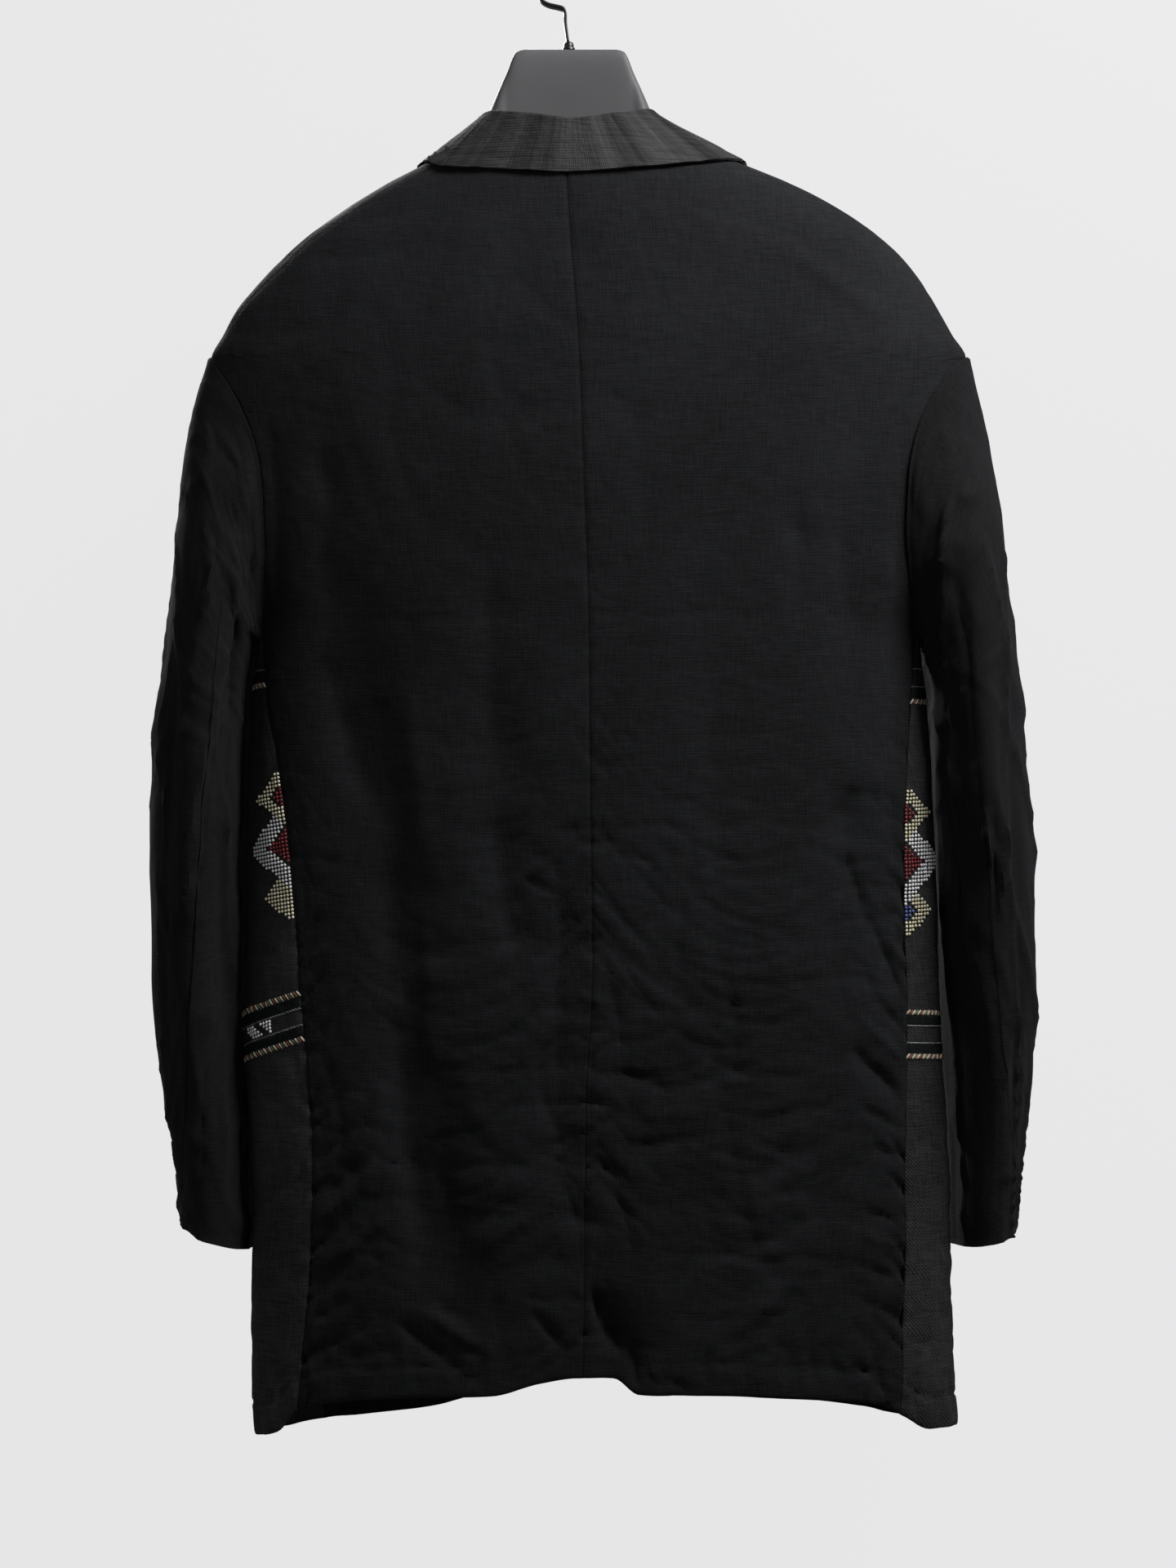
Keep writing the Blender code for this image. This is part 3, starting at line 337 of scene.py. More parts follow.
# The back's creases, from place to place: how far the middle bows, how wide and how deep.
BACK_CREASES = table(
    CREASE,
    (-160, -310, -158, -479, 0, 20, 3.8), (-164, -468, -118, -600, 6, 18, 5),
    (-118, -556, -115, -734, 0, 18, 5), (-115, -715, -92, -913, 0, 17, 6.5),
    (-97, -643, -89, -772, 0, 7, -2), (-53, -397, -50, -585, 0, 18, 3),
    (-47, -573, -30, -700, 4, 16, 3), (-7, -600, -5, -850, 0, 14, 3),
    (-108, -491, -91, -643, 0, 18, -3), (44, -292, 53, -444, 0, 20, 1.5),
    (147, -368, 153, -468, 0, 15, 3.3), (179, -362, 185, -491, 0, 15, 2.7),
    (185, -560, 181, -610, 0, 14, 3), (91, -479, 100, -701, 0, 20, 2.1),
    (221, -310, 214, -526, 0, 11, 2.4), (-199, -310, -191, -491, 0, 11, 2.4),
    (-179, -213, -91, -204, 3, 5, 0.9), (79, -181, 208, -234, -8, 8, 1.3),
    (-149, -187, -91, -178, 3, 5, 1), (126, -204, 220, -269, -6, 8, -1.3),
    (-208, -269, -138, -242, 4, 6, 1), (-196, -292, -132, -263, 4, 6, -0.9),
    (-144, -453, -15, -451, 1, 1.6, 0.6), (-3, -451, 161, -450, -1, 1.6, 0.7),
    (-169, -837, -129, -799, 3, 5, 3), (-170, -814, -140, -776, 2, 4, 2.4),
    (-171, -791, -146, -755, 2, 4, 2.2), (-172, -769, -153, -742, 1, 3.5, 2),
    (-173, -871, -138, -837, 2, 5, 2.6), (-173, -898, -140, -871, 2, 5, 2.4),
    (-173, -916, -144, -898, 2, 4, 2.4), (-170, -939, -127, -913, 2, 4, 2.6),
    (-175, -742, -159, -719, 1, 3.5, 1.8), (-176, -704, -161, -681, 1, 3.5, 1.6),
    (-178, -662, -161, -643, 1, 3.5, 1.5), (-176, -681, -158, -666, 1, 3.5, -1.3),
    (-172, -855, -120, -800, 3, 6, -2), (-172, -885, -112, -838, 3, 6, -2.2),
    (-32, -622, -7, -633, 1, 2.5, 1.6), (-91, -794, -64, -799, -2, 1.5, 0.9),
    (-94, -826, -62, -830, -3, 1.6, 1.1), (-62, -837, -28, -814, 2, 1.6, 1),
    (-66, -856, -32, -822, 2, 4, 1.6), (-60, -868, -20, -838, 2, 4, -1.3),
    (-26, -905, -1, -932, 2, 4, 3.2), (-30, -898, -6, -900, 1, 3, 1.8),
    (-116, -913, -49, -960, 3, 5, 3.6), (-100, -905, -40, -940, 3, 6, -2.4),
    (-159, -939, -104, -930, 3, 2.5, 1.6), (-92, -898, -58, -924, 2, 4, 1.8),
    (-73, -951, -55, -936, 0, 4, -2), (196, -651, 181, -598, 0, 6, 3.2),
    (220, -700, 194, -643, 2, 6, 3.6), (220, -772, 180, -731, 3, 6, 3.8),
    (222, -723, 196, -700, 1, 4, 2.2), (220, -791, 188, -772, 1, 4, 2.2),
    (220, -810, 196, -799, 1, 3.5, 1.8), (219, -852, 188, -841, 1, 3.5, 2),
    (219, -892, 181, -875, 1, 4, 2.2), (220, -833, 200, -826, 1, 3, 1.5),
    (220, -745, 186, -712, 2, 5, -2), (219, -870, 190, -858, 1, 4, -1.6),
    (219, -915, 185, -900, 1, 4, 1.8), (67, -762, 23, -747, 2, 5, 2.4),
    (59, -762, 146, -734, 4, 4.5, 2.2), (31, -796, 120, -785, 5, 3, 1.7),
    (112, -787, 181, -775, -3, 2.5, 1.6), (40, -775, 110, -772, 4, 6, -1.6),
    (120, -827, 152, -791, 2, 6, 2.4), (131, -833, 181, -810, 2, 3, 1.4),
    (79, -598, 77, -636, 0, 3, 2), (72, -632, 69, -700, 0, 3, 1.8), (18, -810, 40, -820, 1, 3, 2),
    (100, -870, 170, -835, 5, 8, 2.2), (108, -921, 162, -871, 4, 8, -2.6),
    (97, -935, 175, -880, 5, 6, 2), (13, -890, 41, -945, 3, 5, 5), (4, -923, 29, -924, 0, 2.5, 2.2),
    (45, -958, 39, -925, 0, 3.5, 3), (90, -955, 91, -928, 0, 3, 1.8),
    (93, -945, 145, -927, 2, 2.5, 1.5), (162, -958, 160, -930, 0, 3, 2),
    (188, -943, 217, -970, 0, 4, 2.6), (55, -955, 60, -930, 0, 5, -1.6),
    (126, -957, 128, -934, 0, 4, -1.4), (5, -633, 29, -636, 0, 2.2, 1.4),
    (5, -666, 25, -662, 0, 2.2, 1.2), (4, -698, 27, -708, 0, 2.5, -1.3),
    (3, -731, 25, -723, 0, 2.2, 1.4), (4, -759, 21, -769, 0, 2.2, 1.2),
    (4, -837, 21, -833, 0, 2.2, 1.2), (6, -590, -14, -594, 0, 2.2, 1.1),
    (6, -648, -12, -652, 0, 2.2, 1.1), (5, -745, -13, -748, 0, 2.2, 1.1),
    (5, -790, -12, -786, 0, 2.2, 1.2),
)
# The fronts have creases of the same kind, which the photo doesn't show.
FRONT_CREASES = table(
    CREASE,
    (-170, -330, -150, -520, 6, 14, 2.75), (190, -330, 168, -540, -6, 14, 2.75),
    (-120, -520, -104, -930, 8, 20, 4.25), (150, -560, 132, -940, -8, 20, 4),
    (-60, -600, -70, -950, 5, 18, 2.75), (80, -620, 96, -950, -5, 18, 3),
    (-30, -520, -120, -600, -6, 8, 2), (34, -520, 130, -610, 6, 8, 2),
    (-28, -640, -130, -740, -6, 8, 1.62), (32, -645, 140, -740, 6, 8, 1.75),
    (-170, -700, -90, -800, -5, 8, 1.62), (190, -690, 100, -800, 5, 8, 1.88),
    (-180, -780, -80, -900, -7, 9, 2.12), (196, -790, 90, -900, 7, 9, 2.12),
    (-175, -860, -60, -960, -6, 8, 1.88), (190, -860, 70, -960, 6, 8, 2),
    (-130, -240, -180, -300, 3, 7, 1.12), (150, -235, 200, -300, -3, 7, 1.12),
    (30, -760, 40, -960, 3, 12, 2), (-140, -420, -90, -470, 3, 6, 1.12),
    (160, -430, 100, -480, -3, 6, 1.12),
)
# The side panels' creases, by the way round the body from the centre back.
PANEL_CREASES = table(
    CREASE,
    (-400, -500, -360, -640, 3, 9, 1.75), (-330, -640, -410, -760, 4, 8, 1.5),
    (-350, -760, -370, -960, 3, 10, 2), (-440, -700, -430, -930, 3, 10, 1.88),
    (-300, -880, -400, -960, 4, 7, 1.5), (400, -500, 350, -640, -3, 9, 1.75),
    (330, -650, 410, -760, -4, 8, 1.5), (345, -780, 360, -960, -3, 10, 1.75),
    (440, -700, 430, -930, 3, 10, 1.88), (300, -880, 400, -965, 4, 7, 1.5),
)
# The sleeves' creases: x is the angle in degrees from the outer line, z is ROW_STEP for each row.
# These lie on the hidden side of both.
UNDER_CREASES = (
    (-30, 80, -46, 330, 6, 16, 4), (280, 60, 290, 360, 6, 16, 3.8),
    (-60, 330, -30, 560, 8, 14, 3.2), (260, 300, 276, 580, 8, 14, 3.6),
    (-20, 260, -56, 380, 6, 7, 2.4), (240, 260, 290, 370, 6, 7, 2.4),
    (290, 420, 250, 520, 6, 7, 2.4), (230, 120, 220, 420, 8, 14, 3.6),
    (200, 300, 190, 560, 8, 12, 3.2),
)
CREASES_LEFT = table(
    CREASE,
    (62, 19, 40, 63, 3, 6, 2.4), (56, 6, 80, 88, 4, 8, 3), (30, 60, 60, 120, 4, 6, 2),
    (92, 80, 126, 170, 4, 9, 5), (118, 150, 110, 245, 2, 9, 5.5), (108, 217, 82, 404, 4, 9, 6),
    (88, 19, 122, 110, 3, 8, -3), (122, 110, 144, 272, 3, 8, -3.5), (76, 127, 90, 220, 4, 8, 3.6),
    (104, 336, 76, 418, 3, 7, 4.4), (106, 330, 100, 393, 2, 6, -2.4),
    (108, 239, 120, 300, 2, 5, 2.6), (84, 275, 64, 311, 2, 4, 2.2), (60, 240, 92, 330, 4, 5, 2),
    (30, 300, 70, 360, 4, 5, 1.6), (40, 380, 80, 450, 4, 5, 2), (134, 470, 108, 575, 3, 6, 2.2),
    (104, 484, 76, 580, 3, 6, -1.8), (130, 300, 150, 460, 4, 9, 3),
    *UNDER_CREASES,
)
CREASES_RIGHT = table(
    CREASE,
    (64, 6, 76, 61, 3, 8, 2.4), (42, 41, 50, 72, 2, 5, 3), (66, 91, 52, 124, 2, 6, 3.4),
    (70, 77, 112, 121, 4, 9, 5), (108, 108, 132, 278, 4, 12, 8), (132, 255, 132, 385, 2, 12, 8),
    (134, 350, 88, 495, 4, 10, 6.5), (158, 17, 160, 204, 3, 8, 3), (96, 120, 104, 280, 3, 7, -3),
    (106, 294, 118, 319, 2, 5, 3.4), (70, 330, 90, 418, 3, 5, 3.4), (100, 327, 98, 374, 2, 5, 3),
    (94, 336, 90, 426, 2, 5, -2.6), (52, 260, 76, 340, 3, 5, 1.8), (30, 180, 56, 260, 3, 6, 1.8),
    (84, 462, 16, 465, 3, 3, 1.4), (90, 556, 26, 550, 3, 4, 2.2), (174, 512, 122, 536, 3, 6, 3.2),
    (60, 440, 100, 540, 3, 6, 2),
    *UNDER_CREASES,
)
SLEEVES = {-1: SLEEVE_LEFT, 1: SLEEVE_RIGHT}
SLEEVE_CREASES = {-1: CREASES_LEFT, 1: CREASES_RIGHT}
SLEEVE_SEEDS = {-1: 60, 1: 70}


def word_of(side):
    """The name of a side."""
    return "left" if side < 0 else "right"


def curve(columns, name, along):
    """A column with its smooth slopes, over another column that rises."""
    key = (id(columns), name, along)
    if key not in CURVES:
        places, values = columns[along], columns[name]
        if places[0] > places[-1]:
            places, values = places[::-1], values[::-1]
        rises = np.diff(values) / np.diff(places)
        a, b = rises[:-1], rises[1:]
        same = a * b > 0
        inner = np.where(same, 2 * a * b / np.where(same, a + b, 1), 0)
        CURVES[key] = places, values, np.concatenate(([rises[0]], inner, [rises[-1]]))
    return CURVES[key]


def read(columns, name, at, along="z"):
    """A column's values along another column, on a smooth curve that never leaves its rows."""
    places, values, slopes = curve(columns, name, along)
    at = np.clip(at, places[0], places[-1])
    i = np.clip(np.searchsorted(places, at) - 1, 0, len(places) - 2)
    span, rise = places[i + 1] - places[i], values[i + 1] - values[i]
    t = (at - places[i]) / span
    start, end = slopes[i] * span, slopes[i + 1] * span
    return values[i] + t * (start + t * (3 * rise - 2 * start - end + t * (start + end - 2 * rise)))


def ease(t):
    """A soft step from 0 to 1."""
    t = np.clip(t, 0, 1)
    return t * t * (3 - 2 * t)


def bell(t):
    """A soft hump of height 1 at nothing."""
    return np.exp(-t * t)


def vec(x, y, z):
    """Points from their coordinates."""
    return np.stack(np.broadcast_arrays(x, y, z), -1).astype(float)


def unit(v):
    """Directions of length 1."""
    return v / np.maximum(np.linalg.norm(v, axis=-1, keepdims=True), 1e-12)


def noise(u, v, seed):
    """Smooth noise between -1 and 1, with one cell for each unit of u and v."""
    if seed not in LATTICES:
        LATTICES[seed] = np.random.RandomState(seed).uniform(-1, 1, (64, 64))
    lattice = LATTICES[seed]
    u, v = np.broadcast_arrays(np.asarray(u, float), np.asarray(v, float))
    i, j = np.floor(u).astype(int), np.floor(v).astype(int)
    s, t = ease(u - i), ease(v - j)
    low = lattice[i % 64, j % 64] * (1 - t) + lattice[i % 64, (j + 1) % 64] * t
    high = lattice[(i + 1) % 64, j % 64] * (1 - t) + lattice[(i + 1) % 64, (j + 1) % 64] * t
    return low * (1 - s) + high * s


def fold_depth(x, z, facing):
    """How far the body's cloth sinks at a place, by its folds. facing is -1 at the back."""
    depth = np.zeros(np.broadcast(x, z).shape)
    for x1, z1, x2, z2, width, deep, side in zip(*BODY_FOLDS.values()):
        along = (z - z1) / (z2 - z1)
        away = (x - x1 - (x2 - x1) * np.clip(along, 0, 1)) / width
        shown = ease((np.minimum(along, 1 - along) + 0.2) / 0.5) * (side * facing > 0)
        depth += deep * bell(away) * shown
    return depth


def ring(z):
    """The centre, half width, back depth and front depth of the body at a height."""
    left, right = read(BODY, "left", z), read(BODY, "right", z)
    return (left + right) / 2, (right - left) / 2, read(BODY, "back", z), read(BODY, "front", z)


def body_point(turn, z):
    """A point of the body's outer face at a turn in degrees and a height."""
    centre, wide, back, front = ring(z)
    s, c = np.sin(np.radians(turn)), np.cos(np.radians(turn))
    deep = np.where(c > 0, back, front)
    x, y = centre + wide * s, -deep * c
    sink = fold_depth(x, z, np.where(c > 0, -1, 1)) * np.abs(c)
    return vec(x, y, z) - unit(vec(s * deep, -c * wide, 0)) * sink[..., None]


def body_normal(turn, z):
    """The direction out of the body's face."""
    across = body_point(turn + 0.4, z) - body_point(turn - 0.4, z)
    up = body_point(turn, z + 2 * MM) - body_point(turn, z - 2 * MM)
    return unit(np.cross(across, up))


def moved_out(turn, z, out):
    """A point of the body's face, moved out by a distance."""
    return body_point(turn, z) + body_normal(turn, z) * np.asarray(out)[..., None]


def turn_of(x, z, facing=-1):
    """The turn at which the ring at a height has this x, at the back or at the front."""
    centre, wide = ring(z)[:2]
    turn = np.degrees(np.arcsin(np.clip((x - centre) / wide, -1, 1)))
    return turn if facing < 0 else np.copysign(180, x - centre) - turn


def hem_height(turn):
    """The height of the hem at a turn."""
    x = body_point(turn, HEM_Z)[..., 0]
    back = np.cos(np.radians(turn)) > 0
    return np.where(back, read(HEM, "back", x, "x"), read(HEM, "front", x, "x"))


def hem_level(turn, z):
    """A level below the underarm, stretched to the hem's own height at this turn."""
    share = (z - UNDERARM_Z) / (HEM_Z - UNDERARM_Z)
    return np.where(z >= UNDERARM_Z, z, UNDERARM_Z + (hem_height(turn) - UNDERARM_Z) * share)


def outer_turn(side, z, facing):
    """The turn of a body panel's outer edge: the shoulder, then the armhole, then the side seam."""
    name = word_of(side)
    arm = turn_of(read(ARMHOLE, name, z), z)
    arm = np.where(z > SHOULDER_Z - 1e-6, 90 * side, arm)
    if facing < 0:
        return np.where(z >= UNDERARM_Z - 1e-6, arm, turn_of(read(SIDE_SEAM, name, z), z))
    front = side * (180 - np.abs(arm))
    return np.where(z > UNDERARM_Z + 1e-6, front, side * read(FRONT_SEAM, "turn", z))


def front_turn(side, x, z):
    """The turn of an x on one of the fronts, counted on past the centre front."""
    return side * 180 - turn_of(x, z)


def front_edge(side, z):
    """The turn of a front's inner edge: the roll line, then the edge that buttons."""
    return front_turn(side, read(ROLL_LINE, word_of(side), z), z)


def lap_lift(turn, z):
    """How far the left front is raised where it laps over the right one."""
    x = body_point(turn, z)[..., 0]
    return LAP_LIFT * ease((x - ring(z)[0] + LAP + LAP_RAMP) / LAP_RAMP)


def centre_turn(z):
    """The turn of the centre back seam."""
    return turn_of(read(CENTRE_SEAM, "x", z), z)


def crease(table_of, x, z, seed):
    """How far the cloth sinks in creases: soft troughs, or ridges where the depth is below zero."""
    sunk = np.zeros(np.broadcast(x, z).shape)
    for k, (x1, z1, x2, z2, bow, width, deep) in enumerate(zip(*table_of.values())):
        run = np.hypot(x2 - x1, z2 - z1)
        ax, az = (x2 - x1) / run, (z2 - z1) / run
        along = ((x - x1) * ax + (z - z1) * az) / run
        away = (x - x1) * az - (z - z1) * ax
        wander = 0.25 * width * noise(along * 5 + k, 0.5, seed + k)
        away = away - bow * 4 * along * (1 - along) - wander
        steep = np.where(away > 0, 1.4, 0.75) * away / width
        uneven = 0.8 + 0.35 * noise(along * 7 + 3 * k, 1.5, seed + 50 + k)
        shown = ease(along / 0.25 + 0.2) * ease((1 - along) / 0.4)
        sunk += deep * shown * uneven * (0.7 * bell(steep) + 0.3 * bell(3 * steep))
    return sunk


def crumple(u, v, seed):
    """Sharp little wrinkles, between 0 and 1 deep: valleys where smooth noise crosses nothing."""
    fine = 1 - np.minimum(np.abs(noise(u + 0.5 * v, v, seed)) * 3.2, 1)
    return fine**1.5 * ease(0.5 + 0.9 * noise(u / 3.1, v / 3.7, seed + 1))


# Layers of unevenness: kind, strength, what "more" adds, a cell's width, lean and height, seed.
BODY_LAYERS = (
    (noise, 0.5, 0.7, 0.055, math.inf, 0.075, 11),
    (noise, 0.18, 0.3, 0.03, 0.09, 0.016, 12),
    (noise, 0.1, 0.14, 0.012, math.inf, 0.02, 13),
    (crumple, -0.7, -0.9, 0.04, math.inf, 0.07, 15),
    (crumple, -0.4, -0.9, -0.035, math.inf, 0.02, 17),
    (crumple, -0.25, -0.25, 0.018, math.inf, 0.014, 19),
)
DRAPE_LAYERS = (
    (crumple, 0, -1.3, 0.06, math.inf, 0.014, 41),
    (crumple, 0, -0.8, 0.035, math.inf, 0.008, 43),
)
SLEEVE_LAYERS = (
    (noise, 1.8, 0, 0.05, 0.2, 0.12, 1),
    (noise, 1, 0, 0.024, 0.09, 0.045, 2),
    (crumple, -3.4, 0, 0.05, 0.13, 0.15, 20),
    (crumple, -2.2, 0, 0.04, -0.07, 0.07, 30),
    (crumple, -1.1, 0, 0.022, 0.05, 0.03, 40),
    (crumple, -3, 0, 0.02, 0.4, 0.2, 50),
    (crumple, -1.5, 0, 0.013, -0.25, 0.09, 60),
)


def layered(rows, across, down, more, seed=0):
    """How far rows of layers raise the cloth."""
    total = 0.0
    for kind, base, extra, wide, lean, high, number in rows:
        strength = (base + extra * more) * MM
        total += strength * kind(across / wide + down / lean, down / high, seed + number)
    return total


def seam_mark(away, z, deep, reach, pitch, pucker, rise, seed):
    """A seam's groove, with the little puckers that run out of it and rise."""
    place = (z - rise * np.abs(away)) / pitch
    wave = noise(place, away / (2.5 * reach), seed)
    wave = wave + 0.5 * noise(place * 2.3, away / reach, seed + 1)
    puckers = pucker * (1.7 * np.maximum(wave, 0) - 0.3) * np.exp(-np.abs(away) / reach)
    return deep * bell(away / SEAM_GROOVE) + puckers


def body_detail(turn, z):
    """How far the body's cloth stands out from its solid's face at a turn and a height."""
    turn, z = np.broadcast_arrays(np.asarray(turn, float), np.asarray(z, float))
    centre, wide, back, front = ring(z)
    s, c = np.sin(np.radians(turn)), np.cos(np.radians(turn))
    deep = np.where(c > 0, back, front)
    x = centre + wide * s
    per_degree = np.hypot(wide * c, deep * s) * math.pi / 180
    at_back, at_front = ease(c * 3.5), ease(-c * 3.5)
    run = np.radians(turn) * MEAN_RADIUS
    low = ease((LOW_START - z) / LOW_FALL)
    out = layered(BODY_LAYERS, run, z, low)
    out -= crease(BACK_CREASES, x, z, 100) * (1.05 + 0.1 * low) * at_back
    out -= crease(FRONT_CREASES, x, z, 300) * at_front
    out -= crease(PANEL_CREASES, run, z, 500) * (1 - at_back) * (1 - at_front)
    sag = z - 0.6 * (np.abs(run) - 0.11) ** 2 / 0.11
    inner = low * ease((0.2 - np.abs(run)) / 0.06) * at_back
    out += layered(DRAPE_LAYERS, run, sag, inner)
    away = (turn - centre_turn(z)) * per_degree
    pucker = (0.4 + 0.8 * low) * MM
    out -= seam_mark(away, z, 0.55 * MM, 12 * MM, 10 * MM, pucker, 0.1, 21) * (c > 0)
    below = z < UNDERARM_Z + 3 * MM
    on_arm = (z >= UNDERARM_Z) & (z < SHOULDER_Z + 12 * MM)
    low_seam = ease((UNDERARM_Z - z) / 0.16)
    for side, seed in ((-1, 22), (1, 24)):
        back_seam = outer_turn(side, np.minimum(z, UNDERARM_Z - 1e-4), -1)
        front_seam = side * read(FRONT_SEAM, "turn", z)
        for seam, toward, least, extra, reach, pitch, number, span in (
            (back_seam, -side, 0.3, 1.6, 15, 8, seed, 60),
            (front_seam, side, 0.2, 1.2, 14, 9, seed + 5, 40),
        ):
            away = (turn - seam) * per_degree
            pucker = (least + extra * low_seam) * MM * np.where(away * toward > 0, 1, 0.12)
            mark = seam_mark(away, z, 0.8 * MM, reach * MM, pitch * MM, pucker, 0.8, number)
            out -= mark * below * (np.abs(turn - seam) < span)
        for facing in (-1, 1):
            arm = outer_turn(side, np.clip(z, UNDERARM_Z + 1e-4, SHOULDER_Z), facing)
            out -= 0.35 * MM * bell((turn - arm) * per_degree / SEAM_GROOVE) * on_arm
    over = z - hem_height(turn)
    out += 0.45 * MM * ease((HEM_BAND + 0.5 * MM - over) / (1.5 * MM))
    out -= 1.1 * MM * bell((over - HEM_BAND) / (1.3 * MM))
    pull = bell((over - 0.9 * HEM_BAND) / (0.7 * HEM_BAND))
    out += 1.2 * MM * pull * noise(run / 0.009 + over / 0.05, over / 0.03, 31)
    out += 2.2 * MM * noise(run / 0.03, 0.5, 32) * ease(1 - over / 0.05)
    return out - 0.9 * MM * ease(1 - over / (1.2 * MM))


def surface(turn, z, out=0.0):
    """A point of the shown cloth's outer face, moved out by a distance."""
    return moved_out(turn, z, out + body_detail(turn, z))


def cross_grid(grid):
    """The normals of a grid of points: the directions across and down it, crossed."""
    return unit(np.cross(np.gradient(grid, axis=0), np.gradient(grid, axis=1)))


def shell(name, outer, material, weave, flip, thick=CLOTH):
    """A thin closed sheet: a grid of outer points, and the same moved in by its thickness."""
    return closed_grid(name, outer, outer - cross_grid(outer) * (thick * flip), material, weave)


def closed_grid(name, outer, inner, material, weave):
    """A closed mesh between two grids of the same size, with the weave's own coordinates."""
    rows, columns = outer.shape[:2]
    size = rows * columns
    index = np.arange(size).reshape(rows, columns)

    def strip(a, b):
        return np.stack((a[:-1], a[1:], b[1:], b[:-1]), -1).reshape(-1, 4)

    quads = strip(index[:, :-1], index[:, 1:])
    faces = [quads, quads[:, ::-1] + size]
    for line, turned in ((index[0], 1), (index[-1], 0), (index[:, 0], 0), (index[:, -1], 1)):
        edge = strip(line, line + size)
        faces.append(edge[:, ::-1] if turned else edge)
    points = np.concatenate((outer.reshape(-1, 3), inner.reshape(-1, 3)))
    faces = np.concatenate(faces)
    a, b, c, d = (points[faces[:, k]] for k in range(4))
    if (a * (np.cross(b, c) + np.cross(c, d))).sum() < 0:
        faces = faces[:, ::-1]
    return mesh_object(name, points, faces, material, np.tile(weave.reshape(-1, 3), (2, 1)))


def put(name, data, place=(0, 0, 0), turn=(0, 0, 0)):
    """A new object in the scene."""
    thing = bpy.data.objects.new(name, data)
    thing.location, thing.rotation_euler = place, turn
    bpy.context.scene.collection.objects.link(thing)
    return thing


def mesh_object(name, points, faces, material, weave=None):
    """An object from arrays of points and faces."""
    mesh = bpy.data.meshes.new(name)
    mesh.from_pydata(points.tolist(), [], faces.tolist() if hasattr(faces, "tolist") else faces)
    mesh.shade_smooth()
    mesh.set_sharp_from_angle(angle=math.radians(SHARP_ANGLE))
    if weave is not None:
        layer = mesh.attributes.new("weave", "FLOAT_VECTOR", "POINT")
        layer.data.foreach_set("vector", np.asarray(weave, np.float32).ravel())
    mesh.materials.append(material)
    thing = put(name, mesh)
    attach(thing, "root")
    return thing


def fall_levels(start, end, step, power=1.0):
    """Levels from one height to another, about one step apart, without the last one."""
    count = max(int(round(abs(end - start) / step)), 2)
    return start + (end - start) * (np.arange(count) / count) ** power


def full_levels(step):
    """Levels from the neck to the hem."""
    parts = (
        fall_levels(NECK_Z, SHOULDER_Z, step, NECK_PACK),
        fall_levels(SHOULDER_Z, UNDERARM_Z, step),
        fall_levels(UNDERARM_Z, HEM_Z, step),
        HEM_EDGE,
    )
    return np.concatenate(parts)


def panel_grid(levels, first, last, columns, out=None):
    """A panel's outer points between two seams, and its weave's coordinates."""
    a, b = first(levels), last(levels)
    reach = np.linalg.norm(body_point(a, levels) - body_point(b, levels), axis=-1)
    over = SEAM_OVERLAP / np.maximum(reach, 10 * SEAM_OVERLAP)
    a, b = a - (b - a) * over, b + (b - a) * over
    share = np.linspace(0, 1, columns + 1)
    share = share - EDGE_PACK * np.sin(2 * math.pi * share) / (2 * math.pi)
    turn = a[:, None] + (b - a)[:, None] * share
    level = np.broadcast_to(levels[:, None], turn.shape)
    z = hem_level(turn, level)
    grid = surface(turn, z, out(turn, z) if out else 0.0)
    step = np.linalg.norm(np.diff(grid[:, :, :2], axis=1), axis=-1)
    arc = np.concatenate((np.zeros((len(levels), 1)), np.cumsum(step, 1)), 1)
    # The weave's third value is the distance to the nearer seam, which places the painted seam
    # shade.
    seam = np.minimum(arc, arc[:, -1:] - arc)
    return grid, vec(arc - arc[:, -1:] + WEAVE_SHIFT * np.sign(a)[:, None], z, seam)


def stand_for(piece, node):
    """The solid that a piece takes the place of is hidden."""
    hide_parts(node)


def make_panel(name, node, slot, levels, first, last, columns, cloth, flip, lift=None):
    """A panel of cloth between two seams."""
    grid, weave = panel_grid(levels, first, last, columns, lift)
    stand_for(shell(name, grid, cloth, weave, flip), node)


def make_backs(cloth):
    """The two halves of the back, from the neck to the hem."""
    for word, side in SIDES:
        names = "back_cloth_" + word, "back_" + word, "linen"
        edge = lambda z: outer_turn(side, z, -1)
        make_panel(*names, full_levels(FINE), edge, centre_turn, BACK_COLUMNS, cloth, -side)


def make_side_panels(cloth):
    """The narrow woven panels under the arms."""
    levels = np.concatenate((fall_levels(UNDERARM_Z, HEM_Z, FINE), HEM_EDGE))
    for word, side in SIDES:
        names = "side_cloth_" + word, "side_panel_" + word, "twill"
        back = lambda z: outer_turn(side, z, -1)
        front = lambda z: side * read(FRONT_SEAM, "turn", z)
        make_panel(*names, levels, back, front, SIDE_STEPS, cloth, side)


def make_fronts(cloth):
    """The fronts. The left one laps over the right one and is raised there."""
    for word, side in SIDES:
        names = "front_cloth_" + word, "front_" + word, "linen"
        outside = lambda z: outer_turn(side, z, 1)
        inside = lambda z: front_edge(side, z)
        lift = lap_lift if side < 0 else None
        make_panel(*names, full_levels(COARSE), outside, inside, FRONT_STEPS, cloth, side, lift)


def lapel_lift(side, turn, z):
    """How far a lapel's face stands off the body."""
    return LAPEL_LIFT + (lap_lift(turn, z) if side < 0 else 0)


def lapel_outside(side, z):
    """The turn of a lapel's free edge."""
    x = body_point(front_edge(side, z), z)[..., 0] + side * read(LAPEL, "width", z)
    return front_turn(side, x, z)


